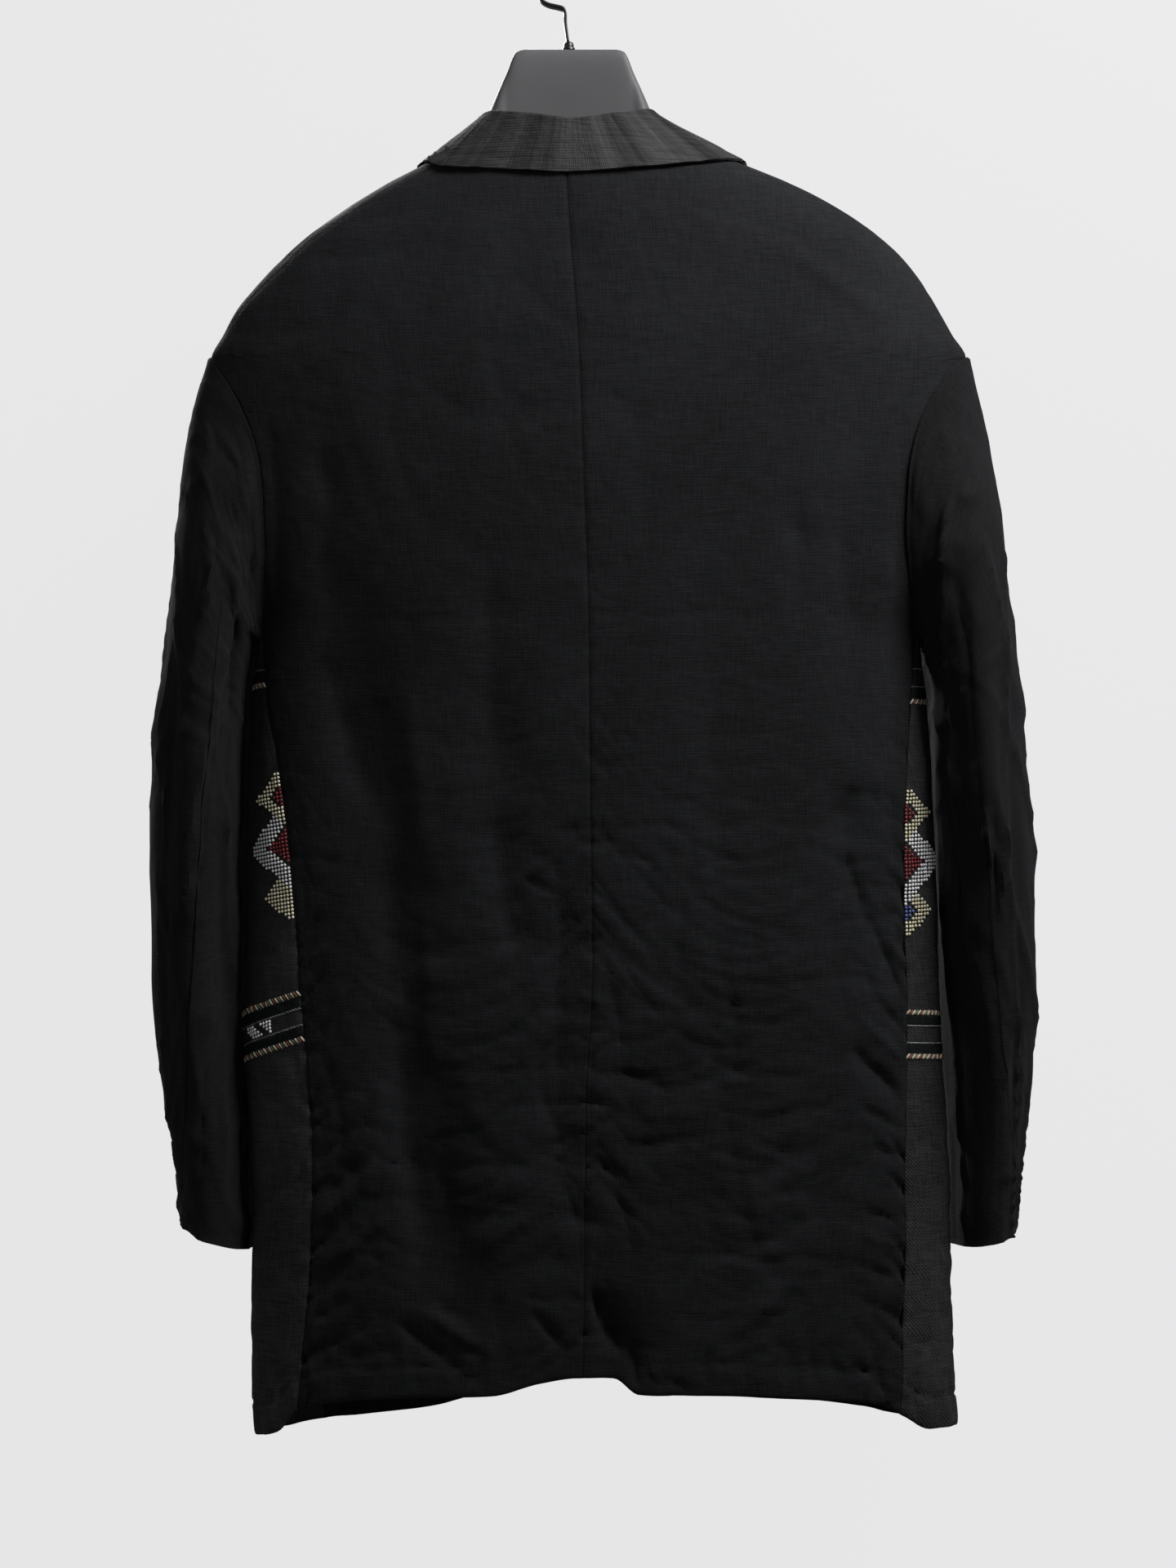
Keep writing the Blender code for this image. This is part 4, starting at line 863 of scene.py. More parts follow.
def make_lapels(cloth):
    """The lapels, turned back along the roll line onto the fronts."""
    for word, side, end in (("left", -1, BREAK_Z), ("right", 1, RIGHT_LAPEL_END_Z)):
        names = "lapel_cloth_" + word, "lapel_" + word, "linen"
        levels = np.linspace(GORGE_Z, end, LAPEL_STEPS)
        outside = lambda z: lapel_outside(side, z)
        inside = lambda z: front_edge(side, z)
        lift = lambda turn, z: lapel_lift(side, turn, z)
        make_panel(*names, levels, outside, inside, LAPEL_ACROSS, cloth, side, lift)


def clear_of_body(point, facing, out):
    """A point, moved out of the body's face if it lies nearer to it than a distance."""
    centre, wide = ring(point[2])[:2]
    if point[2] > NECK_Z or abs(point[0] - centre) >= wide:
        return point
    turn = turn_of(point[0], point[2], facing)
    normal = body_normal(turn, point[2])
    return point + normal * max(out - (point - body_point(turn, point[2])).dot(normal), 0)


def neckline(turn):
    """Where the collar's stand begins: on the neck's edge, then beside the front's inner edge."""
    side = math.copysign(1, turn)
    share = (abs(turn) - 90) / (COLLAR_END - 90)
    if share <= 0:
        return body_point(turn, NECK_Z) + vec(0, 0, GAP)
    corner = abs(front_edge(side, NECK_Z))
    inward = vec(side * (WALL + 2 * GAP), 0, 0)
    if share < CORNER_SHARE:
        at = body_point(side * (90 + (corner - 90) * share / CORNER_SHARE), NECK_Z)
        return at + vec(0, 0, GAP) - inward * share / CORNER_SHARE
    z = NECK_Z + (GORGE_Z + 14 * MM - NECK_Z) * (share - CORNER_SHARE) / (1 - CORNER_SHARE)
    return body_point(front_edge(side, z), z) - inward


def collar_section(turn):
    """The collar's outer points at one turn: up its stand, over the roll and down its fall."""
    edge_x, edge_z = read(COLLAR, "edge_x", turn, "turn"), read(COLLAR, "edge_z", turn, "turn")
    roll = np.array([read(COLLAR, "roll_" + axis, turn, "turn") for axis in "xyz"])
    facing = -1 if abs(turn) < 90 else 1
    out = COLLAR_LIFT + WALL
    edge = moved_out(turn_of(edge_x, edge_z, facing), edge_z, out)
    base = neckline(turn)
    outward = unit((edge - base) * (1, 1, 0))
    crest = []
    for swing in np.radians(np.linspace(155, 25, COLLAR_CREST)):
        lean = outward * math.cos(swing) + vec(0, 0, math.sin(swing) - 1)
        crest.append(roll + lean * ROLL_RADIUS)
    stand = [base + (crest[0] - base) * k / COLLAR_STAND for k in range(COLLAR_STAND)]
    fall = [
        clear_of_body(crest[-1] + (edge - crest[-1]) * k / COLLAR_FALL, facing, out)
        for k in range(1, COLLAR_FALL)
    ]
    return stand + crest + fall + [edge]


def make_collar(cloth):
    """One folded strip round the neck, which rests on the shoulders."""
    turns = np.linspace(-COLLAR_END, COLLAR_END, COLLAR_TURNS)
    outer = np.array([collar_section(turn) for turn in turns])
    normals = cross_grid(outer)
    normals *= -1 if normals[len(turns) // 2, -1, 1] > 0 else 1
    along, down = turns[:, None] * 2 * MM, np.linspace(0, 1, outer.shape[1])[None, :]
    wave = 0.5 * noise(along / 0.03, down * 3, 41) + 0.25 * noise(along / 0.008, down * 5, 42)
    edge = np.exp(-(((1 - down) * 55 - 6) ** 2) / 3) * 0.35
    pull = ease((down - 0.8) / 0.2) * 0.6 * noise(along / 0.012, 0.5, 43)
    outer = outer + normals * ((wave + pull) * ease(down / 0.3) - edge)[..., None] * MM
    weave = vec(along + 0 * down, outer[..., 2], NO_SEAM)
    inner = outer - normals * COLLAR_THICK
    stand_for(closed_grid("collar_cloth", outer, inner, cloth, weave), "collar")


def loop_place(side, j):
    """The turn and height at a step round the armhole, from the shoulder down the back."""
    fall = UNDERARM_Z - SHOULDER_Z
    level = np.where(j <= ARM_ROWS, j, LOOP_STEPS - j)
    z = SHOULDER_Z + fall * (1 - np.cos(math.pi * np.clip(level, 0, ARM_ROWS) / ARM_ROWS)) / 2
    a = outer_turn(side, np.array(UNDERARM_Z), -1)
    b = side * read(FRONT_SEAM, "turn", UNDERARM_Z)
    under = a + (b - a) * (j - ARM_ROWS) / SIDE_COLUMNS
    turn = np.where(j <= ARM_ROWS, outer_turn(side, z, -1), outer_turn(side, z + 2e-6, 1))
    below = (j > ARM_ROWS) & (j < ARM_ROWS + SIDE_COLUMNS)
    return np.where(below, under, turn), np.where(below, UNDERARM_Z, z)


def sleeve_ring_point(columns, row, angle, side):
    """A point of the plain sleeve at a row and at an angle that starts on its outer line."""
    names = "outer_x outer_z inner_x inner_z mid depth bow turn_in".split()
    ox, oz, ix, iz, mid, depth, bow, turn_in = (read(columns, name, row, "row") for name in names)
    s, c = np.sin(np.radians(angle)), np.cos(np.radians(angle))
    x = (ox + ix) / 2 + (ox - ix) / 2 * c - side * (bow * s * s + turn_in * np.maximum(-s, 0) ** 2)
    return vec(x, mid - depth * s, (oz + iz) / 2 + (oz - iz) / 2 * c)


def sleeve_fold(row, angle):
    """How far the sleeve's cloth sinks at a row and an angle."""
    sink = 0
    for at, start, end, spread, depth in zip(*SLEEVE_FOLDS.values()):
        away = ((angle - at + 180) % 360 - 180) / (spread / MM)
        sink = sink + depth * bell(away) * ease(row - start) * ease(end - row)
    return sink


def sleeve_angle(row, j):
    """The angle at a row of a step round the sleeve. The two seams are steps of their own."""
    elbow, forearm = (read(seam, "angle", row, "row") for seam in (ELBOW_SEAM, FOREARM_SEAM))
    under = FOREARM_COLUMN - ELBOW_COLUMN
    j = np.where(j < ELBOW_COLUMN, j + LOOP_STEPS, j)
    below = elbow + (forearm - elbow) * (j - ELBOW_COLUMN) / under
    above = forearm + (360 + elbow - forearm) * (j - FOREARM_COLUMN) / (LOOP_STEPS - under)
    seam_angle = np.where(j <= FOREARM_COLUMN, below, above)
    even = 360 * j / LOOP_STEPS
    return even + ((seam_angle - even + 180) % 360 - 180) * ease(row / 3)


def sleeve_base(side, row, j):
    """A point of the sleeve's solid face."""
    place = lambda at_row, at: sleeve_ring_point(SLEEVES[side], at_row, at, side)
    j = j % LOOP_STEPS
    angle = sleeve_angle(row, j)
    start = place(np.zeros_like(j), 360 * j / LOOP_STEPS)
    keep = ease(1 - row / 2.2)[..., None]
    point = place(row, angle) + (body_point(*loop_place(side, j)) - start) * keep
    middle = (place(row, 0 * angle) + place(row, 0 * angle + 180)) / 2
    return point + unit(middle - point) * sleeve_fold(row, angle)[..., None]


def sleeve_normal(side, row, j):
    """The direction out of the sleeve's face."""
    low, high = np.clip(row - 0.05, 0, None), row + 0.05
    down = sleeve_base(side, high, j) - sleeve_base(side, low, j)
    across = sleeve_base(side, row, j + 0.08) - sleeve_base(side, row, j - 0.08)
    return unit(np.cross(down, across)) * side


def sleeve_detail(side, row, j):
    """How far the sleeve's cloth stands out from its solid's face."""
    angle = sleeve_angle(row, j)
    swing = np.where(angle > 300, angle - 360, angle)
    seed = SLEEVE_SEEDS[side]
    around, down = (1 - np.abs(swing / 180 - 1)) * 0.17, row * ROW_STEP * MM
    out = -crease(SLEEVE_CREASES[side], swing * MM, down, seed)
    grow = 0.6 + 0.4 * ease(row / 2)
    grow *= 0.45 + 0.55 * ease(np.abs(np.sin(np.radians(swing))) * 2)
    out += layered(SLEEVE_LAYERS, around, down, 0, seed) * grow
    head = np.exp(-row / 0.35) * noise(around / 0.012, 0.5, seed + 5)
    out += 0.5 * MM * (head - np.exp(-row / 0.05))
    for seam in (ELBOW_COLUMN, FOREARM_COLUMN):
        away = (j - seam) * COLUMN_STEP * MM
        shown = ease((row - 1.5) / 4)
        if seam == ELBOW_COLUMN:
            shown = shown * (1 - ease((row - VENT_ROW + 0.2) / 0.2))
        wave = noise(down / 0.011, seam, seed + seam)
        out -= 0.45 * MM * bell(away / SEAM_GROOVE) * shown
        out -= 0.6 * MM * wave * np.exp(-np.abs(away) / (11 * MM)) * shown
    return out - 0.6 * MM * ease((row - SLEEVES[side]["row"][-1] + 0.03) / 0.03)


def sleeve_surface(side, row, j, out=0.0):
    """A point of the sleeve's shown cloth, moved out by a distance."""
    out = np.asarray(out + sleeve_detail(side, row, j))[..., None]
    return sleeve_base(side, row, j) + sleeve_normal(side, row, j) * out


def make_sleeves(cloth):
    """The sleeves. The top sleeve is the outer side, and laps over the under one at the vent."""
    parts = (
        ("under", ELBOW_COLUMN, FOREARM_COLUMN),
        ("top", FOREARM_COLUMN, LOOP_STEPS + ELBOW_COLUMN),
    )
    for word, side in SIDES:
        rows = SLEEVES[side]["row"][-1] * np.linspace(0, 1, SLEEVE_STEPS) ** SLEEVE_PACK
        for part, start, end in parts:
            share = np.linspace(-0.002, 1.002, int((end - start) * SLEEVE_ACROSS) + 1)
            row, j = np.meshgrid(rows, start + (end - start) * share, indexing="ij")
            lift = 0.0
            if part == "top":
                near = ease((row - VENT_ROW) / 0.25) * ease((share - VENT_SHARE) / 0.05)
                j = j + near * 0.5 * (share - VENT_SHARE) / 0.07
                lift = near * VENT_LIFT
            grid = sleeve_surface(side, row, j, lift)
            grid[0] -= vec(side * TUCK_IN, 0, 0)
            # The distance to the seams places the painted seam shade, which is kept off the seams
            # near the sleeve's head.
            seam = np.minimum(share, 1 - share) * (end - start) * COLUMN_ARC * MM
            seam = seam + 1.5 * MM * (1 - ease((row - 2) / 5))
            weave = vec(j * COLUMN_ARC * MM + WEAVE_SHIFT * side, row * ROW_STEP * MM, seam)
            piece = shell(f"sleeve_{part}_cloth_{word}", grid, cloth, weave, side)
            stand_for(piece, f"sleeve_{part}_{word}")


def panel_places(side, z, arcs):
    """The turns on a side panel at distances from its back seam, at a height."""
    a, b = float(outer_turn(side, np.array(z), -1)), side * float(read(FRONT_SEAM, "turn", z))
    turns = np.linspace(a, b, PANEL_SAMPLES)
    line = body_point(turns, np.full(PANEL_SAMPLES, z))
    steps = np.linalg.norm(np.diff(line, axis=0), axis=1)
    along = np.concatenate(([0], np.cumsum(steps)))
    return np.interp(arcs, along, turns), along[-1]


def turns_at(side, heights, arcs):
    """The turns on a side panel at heights and distances from its back seam."""
    return np.array([panel_places(side, h, [a])[0][0] for h, a in zip(heights, arcs)])


def ball_template(rings=4, sides=7):
    """A little ball's points and faces, with its poles along X."""
    points = [(-1, 0, 0)]
    for k in range(1, rings):
        swing = math.pi * k / rings
        for i in range(sides):
            spin, wide = 2 * math.pi * i / sides, math.sin(swing)
            points.append((-math.cos(swing), wide * math.cos(spin), wide * math.sin(spin)))
    points.append((1, 0, 0))
    faces = [(0, 1 + (i + 1) % sides, 1 + i) for i in range(sides)]
    for k in range(rings - 2):
        for i in range(sides):
            a, b = 1 + k * sides + i, 1 + k * sides + (i + 1) % sides
            faces.append((a, b, b + sides, a + sides))
    top = len(points) - 1
    faces += [(top, top - sides + i, top - sides + (i + 1) % sides) for i in range(sides)]
    return np.array(points), faces


def scatter(name, grains, material, template):
    """Small rounded grains in one mesh: each has a place, three axes and three half sizes."""
    shape, shape_faces = template
    points, faces = [], []
    for place, axes, size in grains:
        base = len(points) * len(shape)
        points.append(place + (shape * size) @ axes)
        faces += [tuple(base + k for k in face) for face in shape_faces]
    mesh_object(name, np.concatenate(points), faces, material)


def grains_at(here, along, across, out, half, lift):
    """Grains at places on the cloth, raised by a share of their half height."""
    axes = np.stack((along, across, out), 1)
    return [(here[k] + out[k] * half[2] * lift, axes[k], half) for k in range(len(here))]


def scatter_colours(name, colours, grains, finishes_of, kind, template):
    """A mesh of grains for each colour, in the order in which the colours come."""
    for colour in dict.fromkeys(colours):
        same = [grain for other, grain in zip(colours, grains) if other == colour]
        scatter(name + colour, same, finishes_of[kind + colour], template)


def frame_at(side, turn, z, lean):
    """Axes on a side panel: along the lean, across it, and out of the cloth."""
    turn, z = np.asarray(turn, float), np.asarray(z, float)
    here = surface(turn, z)
    ahead = unit(surface(turn + 0.5 * side, z) - here)
    up = unit(surface(turn, z + 0.6 * MM) - here)
    c, s = math.cos(math.radians(lean)), math.sin(math.radians(lean))
    along = unit(ahead * c + up * s)
    out = unit(np.cross(ahead, up)) * side
    out = unit(out - along * (out * along).sum(-1, keepdims=True))
    return here, along, np.cross(out, along), out


def band_heights(z, drop, arcs):
    """A woven band's height at distances from the back seam: it runs down towards the side."""
    return z - drop * (np.minimum(arcs / BAND_RUN, 1) + 0.3 * np.maximum(arcs / BAND_RUN - 1, 0))


def make_ropes(word, side, finishes_of):
    """The woven bands: two-colour ropes, thin lines and the dark ribbed ground between them."""
    colours, grains = [], []
    for z, drop, kind in ROPES[word]:
        step, lean, half = BAND_KINDS[kind]
        reach = panel_places(side, z * MM, [0])[1]
        arcs = np.arange(0.8 * MM, reach - 0.8 * MM, step)
        heights = band_heights(z * MM, drop * MM, arcs)
        spots = frame_at(side, turns_at(side, heights, arcs), heights, lean)
        grains += grains_at(*spots, half, YARN_LIFT)
        pattern = ROPE_COLOURS if kind == "rope" else ("grey",)
        colours += [pattern[k % len(pattern)] for k in range(len(arcs))]
    scatter_colours(f"band_yarn_{word}_", colours, grains, finishes_of, "", ball_template())
    for number, (high, low, drop) in enumerate(GROUNDS[word]):
        reach = panel_places(side, high * MM, [0])[1]
        arcs = np.linspace(0.5 * MM, reach - 0.5 * MM, GROUND_STEPS)
        rows = []
        for share in np.linspace(0, 1, GROUND_ROWS):
            heights = band_heights((high + (low - high) * share) * MM, drop * MM, arcs)
            rib = 0.12 * MM * math.cos(share * (GROUND_ROWS - 1) * math.pi)
            rows.append(surface(turns_at(side, heights, arcs), heights, 0.32 * MM + rib))
        grid = np.array(rows)
        weave = vec(arcs[None, :], grid[..., 2], NO_SEAM)
        name = f"band_ground_{word}_{number + 1}"
        shell(name, grid, finishes_of["ground"], weave, side, 0.5 * MM)


def motif_colour(word, row, column):
    """A bead's colour, or None, in a chain of stepped half diamonds that the seam cuts."""
    for middle, reach, hollow, core, body, heart in MOTIF[word]:
        size = abs(row - middle) + MOTIF_SLOPE * column
        if size <= core:
            return heart
        if hollow <= size <= reach:
            return body
    return None


def make_beads(word, side, finishes_of):
    """A beaded motif that the back seam cuts, and a small patch of beads in the lower band."""
    top, start, drop = (value * MM for value in BEAD_STARTS[word])
    patch_top, patch_start, patch_drop = (value * MM for value in BEAD_PATCH[word])
    spots, colours = [], []
    for row, column in np.ndindex(MOTIF_ROWS, MOTIF_COLUMNS):
        colour = motif_colour(word, row, column)
        if colour:
            spots.append((top - row * BEAD_PITCH, start + column * BEAD_PITCH, drop))
            colours.append(colour)
    for row, column in np.ndindex(PATCH_ROWS, PATCH_COLUMNS):
        if (column + row) % 6 < 4:
            z = patch_top - row * BEAD_PITCH * 0.9
            spots.append((z, patch_start + column * BEAD_PITCH, patch_drop))
            colours.append("white")
    z, arcs, drops = np.array(spots).T
    heights = band_heights(z, drops, arcs)
    places = frame_at(side, turns_at(side, heights, arcs), heights, 0)
    grains = grains_at(*places, BEAD_HALF, BEAD_LIFT)
    scatter_colours(f"beads_{word}_", colours, grains, finishes_of, "bead_", ball_template(5, 8))


def ring_faces(count, sides):
    """Faces between rings of points, closed at both ends."""
    faces = []
    for i in range(count - 1):
        for k in range(sides):
            a, b = i * sides + k, i * sides + (k + 1) % sides
            faces.append((a, b, b + sides, a + sides))
    return faces + [tuple(range(sides))[::-1], tuple(range((count - 1) * sides, count * sides))]


def lathe(profile, sides):
    """Points and faces of a turned shape about Z."""
    spins = [2 * math.pi * k / sides for k in range(sides)]
    points = [(r * math.cos(spin), r * math.sin(spin), z) for r, z in profile for spin in spins]
    return np.array(points), ring_faces(len(profile), sides)


def make_button(name, point, normal, radius, horn, thread):
    """A round button with a rolled rim, a dished middle, four holes and its crossed thread."""
    high = BUTTON_THICKNESS
    points, faces = lathe([(r * radius, z * high) for r, z in BUTTON_PROFILE], BUTTON_SIDES)
    turned = np.array(normal.to_track_quat("Z", "Y").to_matrix())
    place = np.array(point + normal * BUTTON_GAP)
    stand_for(mesh_object(name + "_disc", points @ turned.T + place, faces, horn), name)
    template = ball_template(6, 8)
    hole, size = 0.24 * radius, (0.13 * radius, 0.13 * radius, 0.05 * high)
    holes = [
        (turned @ np.array((sx * hole, sy * hole, 0.66 * high)) + place, turned.T, size)
        for sx, sy in ((1, 1), (1, -1), (-1, 1), (-1, -1))
    ]
    scatter(name + "_holes", holes, thread, template)
    size = (0.36 * radius, 0.045 * radius, 0.1 * high)
    threads = []
    for sx in (-1, 0, 1):
        for lean in (45, 135):
            c, s = math.cos(math.radians(lean)), math.sin(math.radians(lean))
            axes = np.array([(c, s, 0), (-s, c, 0), (0, 0, 1)])
            shift = axes[1] * sx * 0.06 * radius + (0, 0, 0.74 * high)
            threads.append((turned @ shift + place, axes @ turned.T, size))
    scatter(name + "_thread", threads, thread, template)


def make_buttons(horn, thread):
    """The cuffs' buttons beside their vents, and the two that close the fronts."""
    for word, side in SIDES:
        columns, at = SLEEVES[side], CUFF_BUTTON_TURN
        for k, share in enumerate(CUFF_BUTTON_ROWS):
            row = columns["row"][-1] * share
            here, ahead, below = (
                Vector(sleeve_ring_point(columns, np.array(r), np.array(float(a)), side))
                for r, a in ((row, at), (row, at + 4), (row + 0.1, at))
            )
            normal = (ahead - here).cross(below - here).normalized()
            normal = normal if normal.x * side > 0 else -normal
            name = f"cuff_button_{word}_{k + 1}"
            make_button(name, here, normal, CUFF_BUTTON_RADIUS, horn, thread)
    for k, height in enumerate(FRONT_BUTTON_ZS):
        z = np.array(height)
        turn = turn_of(ring(z)[0] + 2 * MM, z, 1)
        here, normal = Vector(moved_out(turn, z, lap_lift(turn, z))), Vector(body_normal(turn, z))
        name = f"front_button_{k + 1}"
        make_button(name, here, normal, FRONT_BUTTON_RADIUS, horn, thread)


def shoulder_height(x):
    """The height of the shoulder's ridge at an x."""
    low, high = SHOULDER_Z, NECK_Z
    for _ in range(40):
        z = (low + high) / 2
        if abs(x) > abs(read(BODY, word_of(x), z)):
            high = z
        else:
            low = z
    return z


def hanger_section(x):
    """The hanger's top, underside, half depth and power at an x. Its arms follow the shoulders."""
    joint = HANGER_TOP["x"][-1]
    if abs(x) <= joint:
        names = "top bottom depth power".split()
        return tuple(float(read(HANGER_TOP, name, abs(x), "x")) for name in names)
    out = math.copysign(MM, x)
    steep = (shoulder_height(x + out) - shoulder_height(x - out)) / (2 * MM)
    top = shoulder_height(x) - (WALL + 2 * GAP) * math.hypot(1, steep)
    along = (abs(x) - joint) / (ARM_END_LEFT if x < 0 else ARM_END_RIGHT)
    close = 1 - 0.7 * ease((along - 0.9) / 0.1)
    deep = HANGER_TOP["depth"][-1] + (HANGER_ARM_DEPTH - HANGER_TOP["depth"][-1]) * along
    return top, top - HANGER_ARM_HEIGHT * math.hypot(1, steep) * close, deep * close, 1


def tube_object(name, rings, material, node):
    """A closed tube through rings of points."""
    faces = ring_faces(len(rings), len(rings[0]))
    piece = mesh_object(name, np.concatenate(rings), faces, material)
    bm = bmesh.new()
    bm.from_mesh(piece.data)
    bmesh.ops.recalc_face_normals(bm, faces=bm.faces)
    bm.to_mesh(piece.data)
    bm.free()
    stand_for(piece, node)


def make_hanger(plastic):
    """The hanger: a smooth neck plate that flares into two arms under the shoulders."""
    joint = HANGER_TOP["x"][-1]
    along = np.linspace(1, 0, ARM_STEPS, endpoint=False)
    left, right = -joint - ARM_END_LEFT * along, joint + ARM_END_RIGHT * along[::-1]
    places = np.concatenate((left, np.linspace(-joint, joint, PLATE_STEPS), right))
    spin = 2 * math.pi * np.arange(HANGER_SIDES) / HANGER_SIDES
    s, c = np.sin(spin), np.cos(spin)
    rings = []
    for x in places:
        top, bottom, deep, power = hanger_section(x)
        y = deep * np.sign(s) * np.abs(s) ** power
        z = (top + bottom) / 2 + (top - bottom) / 2 * np.sign(c) * np.abs(c) ** power
        rings.append(vec(x, y, z))
    tube_object("hanger_plate_and_arms", rings, plastic, "hanger_body")


def hook_path():
    """The hook's middle line, from the nut up, jogged to its left and round over the rod."""
    points = list(zip(*HOOK_FOOT.values()))
    around = HOOK_RADIUS + HOOK_STRIP / 2
    for angle in range(HOOK_START, HOOK_END - 1, -HOOK_STEP):
        swing = math.radians(angle)
        points.append((math.cos(swing) * around, math.sin(swing) * around - HOOK_RADIUS))
    points = np.array(points)
    fine = []
    for i in range(len(points) - 1):
        p0, p1 = points[max(i - 1, 0)], points[i]
        p2, p3 = points[i + 1], points[min(i + 2, len(points) - 1)]
        for t in np.arange(6) / 6:
            a, b = 2 * p1, p2 - p0
            c, d = 2 * p0 - 5 * p1 + 4 * p2 - p3, 3 * p1 - p0 - 3 * p2 + p3
            fine.append((a + b * t + c * t * t + d * t**3) / 2)
    return np.array(fine + [points[-1]])


def make_hook(metal):
    """A flat steel strip with eased edges, on edge along Y, bent over the rod that it hangs on."""
    path = hook_path()
    ahead = unit(np.gradient(path, axis=0))
    wide, thin = HOOK_WIDTH / 2, HOOK_STRIP / 2
    quarter = [(thin, wide - HOOK_EASE), (thin - HOOK_EASE, wide)]
    half = quarter + [(-a, b) for a, b in quarter[::-1]]
    corner = half + [(-a, -b) for a, b in half]
    rings = [
        np.array([(x - az * a, b, z + ax * a) for a, b in corner])
        for (x, z), (ax, az) in zip(path, ahead)
    ]
    tube_object("hanger_hook_strip", rings, metal, "hanger_hook")


def make_nut(metal):
    """The domed nut and its washer at the hook's foot."""
    low, high = HANGER_TOP["top"][0] + GAP, NUT_TOP_Z - GAP
    profile = [(r * NUT_FOOT, low + z * (high - low)) for r, z in NUT_PROFILE]
    points, faces = lathe(profile, NUT_SIDES)
    piece = mesh_object("hanger_nut_dome", points + (NUT_X, 0, 0), faces, metal)
    stand_for(piece, "hanger_nut")


def nodes_of(name):
    """A new material with its node tree and its shader."""
    material = bpy.data.materials.new(name)
    material.use_nodes = True
    tree = material.node_tree
    return material, tree, tree.nodes["Principled BSDF"]


def feed(tree, node, values):
    """Inputs of a node set or linked, and its properties set, by name."""
    for key, value in values.items():
        if key not in node.inputs:
            setattr(node, key, value)
        elif isinstance(value, bpy.types.NodeSocket):
            tree.links.new(value, node.inputs[key])
        else:
            node.inputs[key].default_value = value
    return node


def add(tree, kind, **values):
    """A new node with its inputs and properties."""
    return feed(tree, tree.nodes.new(kind), values)


def stretched_noise(tree, source, scale, detail=3.0, rough=0.55):
    """Noise over coordinates that are scaled first."""
    scaled = add(tree, "ShaderNodeVectorMath", operation="MULTIPLY", Vector=source)
    scaled.inputs[1].default_value = scale
    values = {"Scale": 1.0, "Detail": detail, "Roughness": rough, "Vector": scaled.outputs[0]}
    return add(tree, "ShaderNodeTexNoise", **values).outputs["Fac"]


def math_node(tree, operation, a, b=None):
    """A math node on two values or sockets."""
    node = add(tree, "ShaderNodeMath", operation=operation)
    for slot, value in enumerate((a, b)):
        if isinstance(value, (int, float)):
            node.inputs[slot].default_value = value
        elif value is not None:
            tree.links.new(value, node.inputs[slot])
    return node.outputs[0]


def ramp(tree, source, stops):
    """A colour ramp on a value."""
    node = tree.nodes.new("ShaderNodeValToRGB")
    elements = node.color_ramp.elements
    while len(elements) < len(stops):
        elements.new(0.5)
    for element, (place, colour) in zip(elements, stops):
        element.position = place
        element.color = (*colour, 1)
    tree.links.new(source, node.inputs[0])
    return node.outputs[0]


def slanted_noise(tree, source, first, second, detail=2.0):
    """Noise of thin flecks, each row shifted a little along the last one, so that none line up."""
    joined = tree.nodes.new("ShaderNodeCombineXYZ")
    for slot, weights in enumerate((first, second)):
        dot = add(tree, "ShaderNodeVectorMath", operation="DOT_PRODUCT", Vector=source)
        dot.inputs[1].default_value = weights
        tree.links.new(dot.outputs["Value"], joined.inputs[slot])
    return stretched_noise(tree, joined.outputs[0], (1, 1, 1), detail)


def weighted(tree, parts):
    """The sum of values, each with its own weight."""
    total = None
    for value, weight in parts:
        value = math_node(tree, "MULTIPLY", value, weight)
        total = value if total is None else math_node(tree, "ADD", total, value)
    return total


def painted_seam_shade(tree, source):
    """Painted shade: a thin dark line at a panel's edge for the shade in its seam's groove, as a
    factor on its colour.
    """
    place = add(tree, "ShaderNodeSeparateXYZ", Vector=source)
    away = math_node(tree, "MULTIPLY", place.outputs[2], 1 / SEAM_LINE)
    wobble = math_node(tree, "MULTIPLY", slanted_noise(tree, source, (0, 0, 0), (0, 260, 0)), 0.8)
    away = math_node(tree, "SUBTRACT", away, wobble)
    return ramp(tree, away, ((0.0, (0.25,) * 3), (0.9, (1,) * 3)))


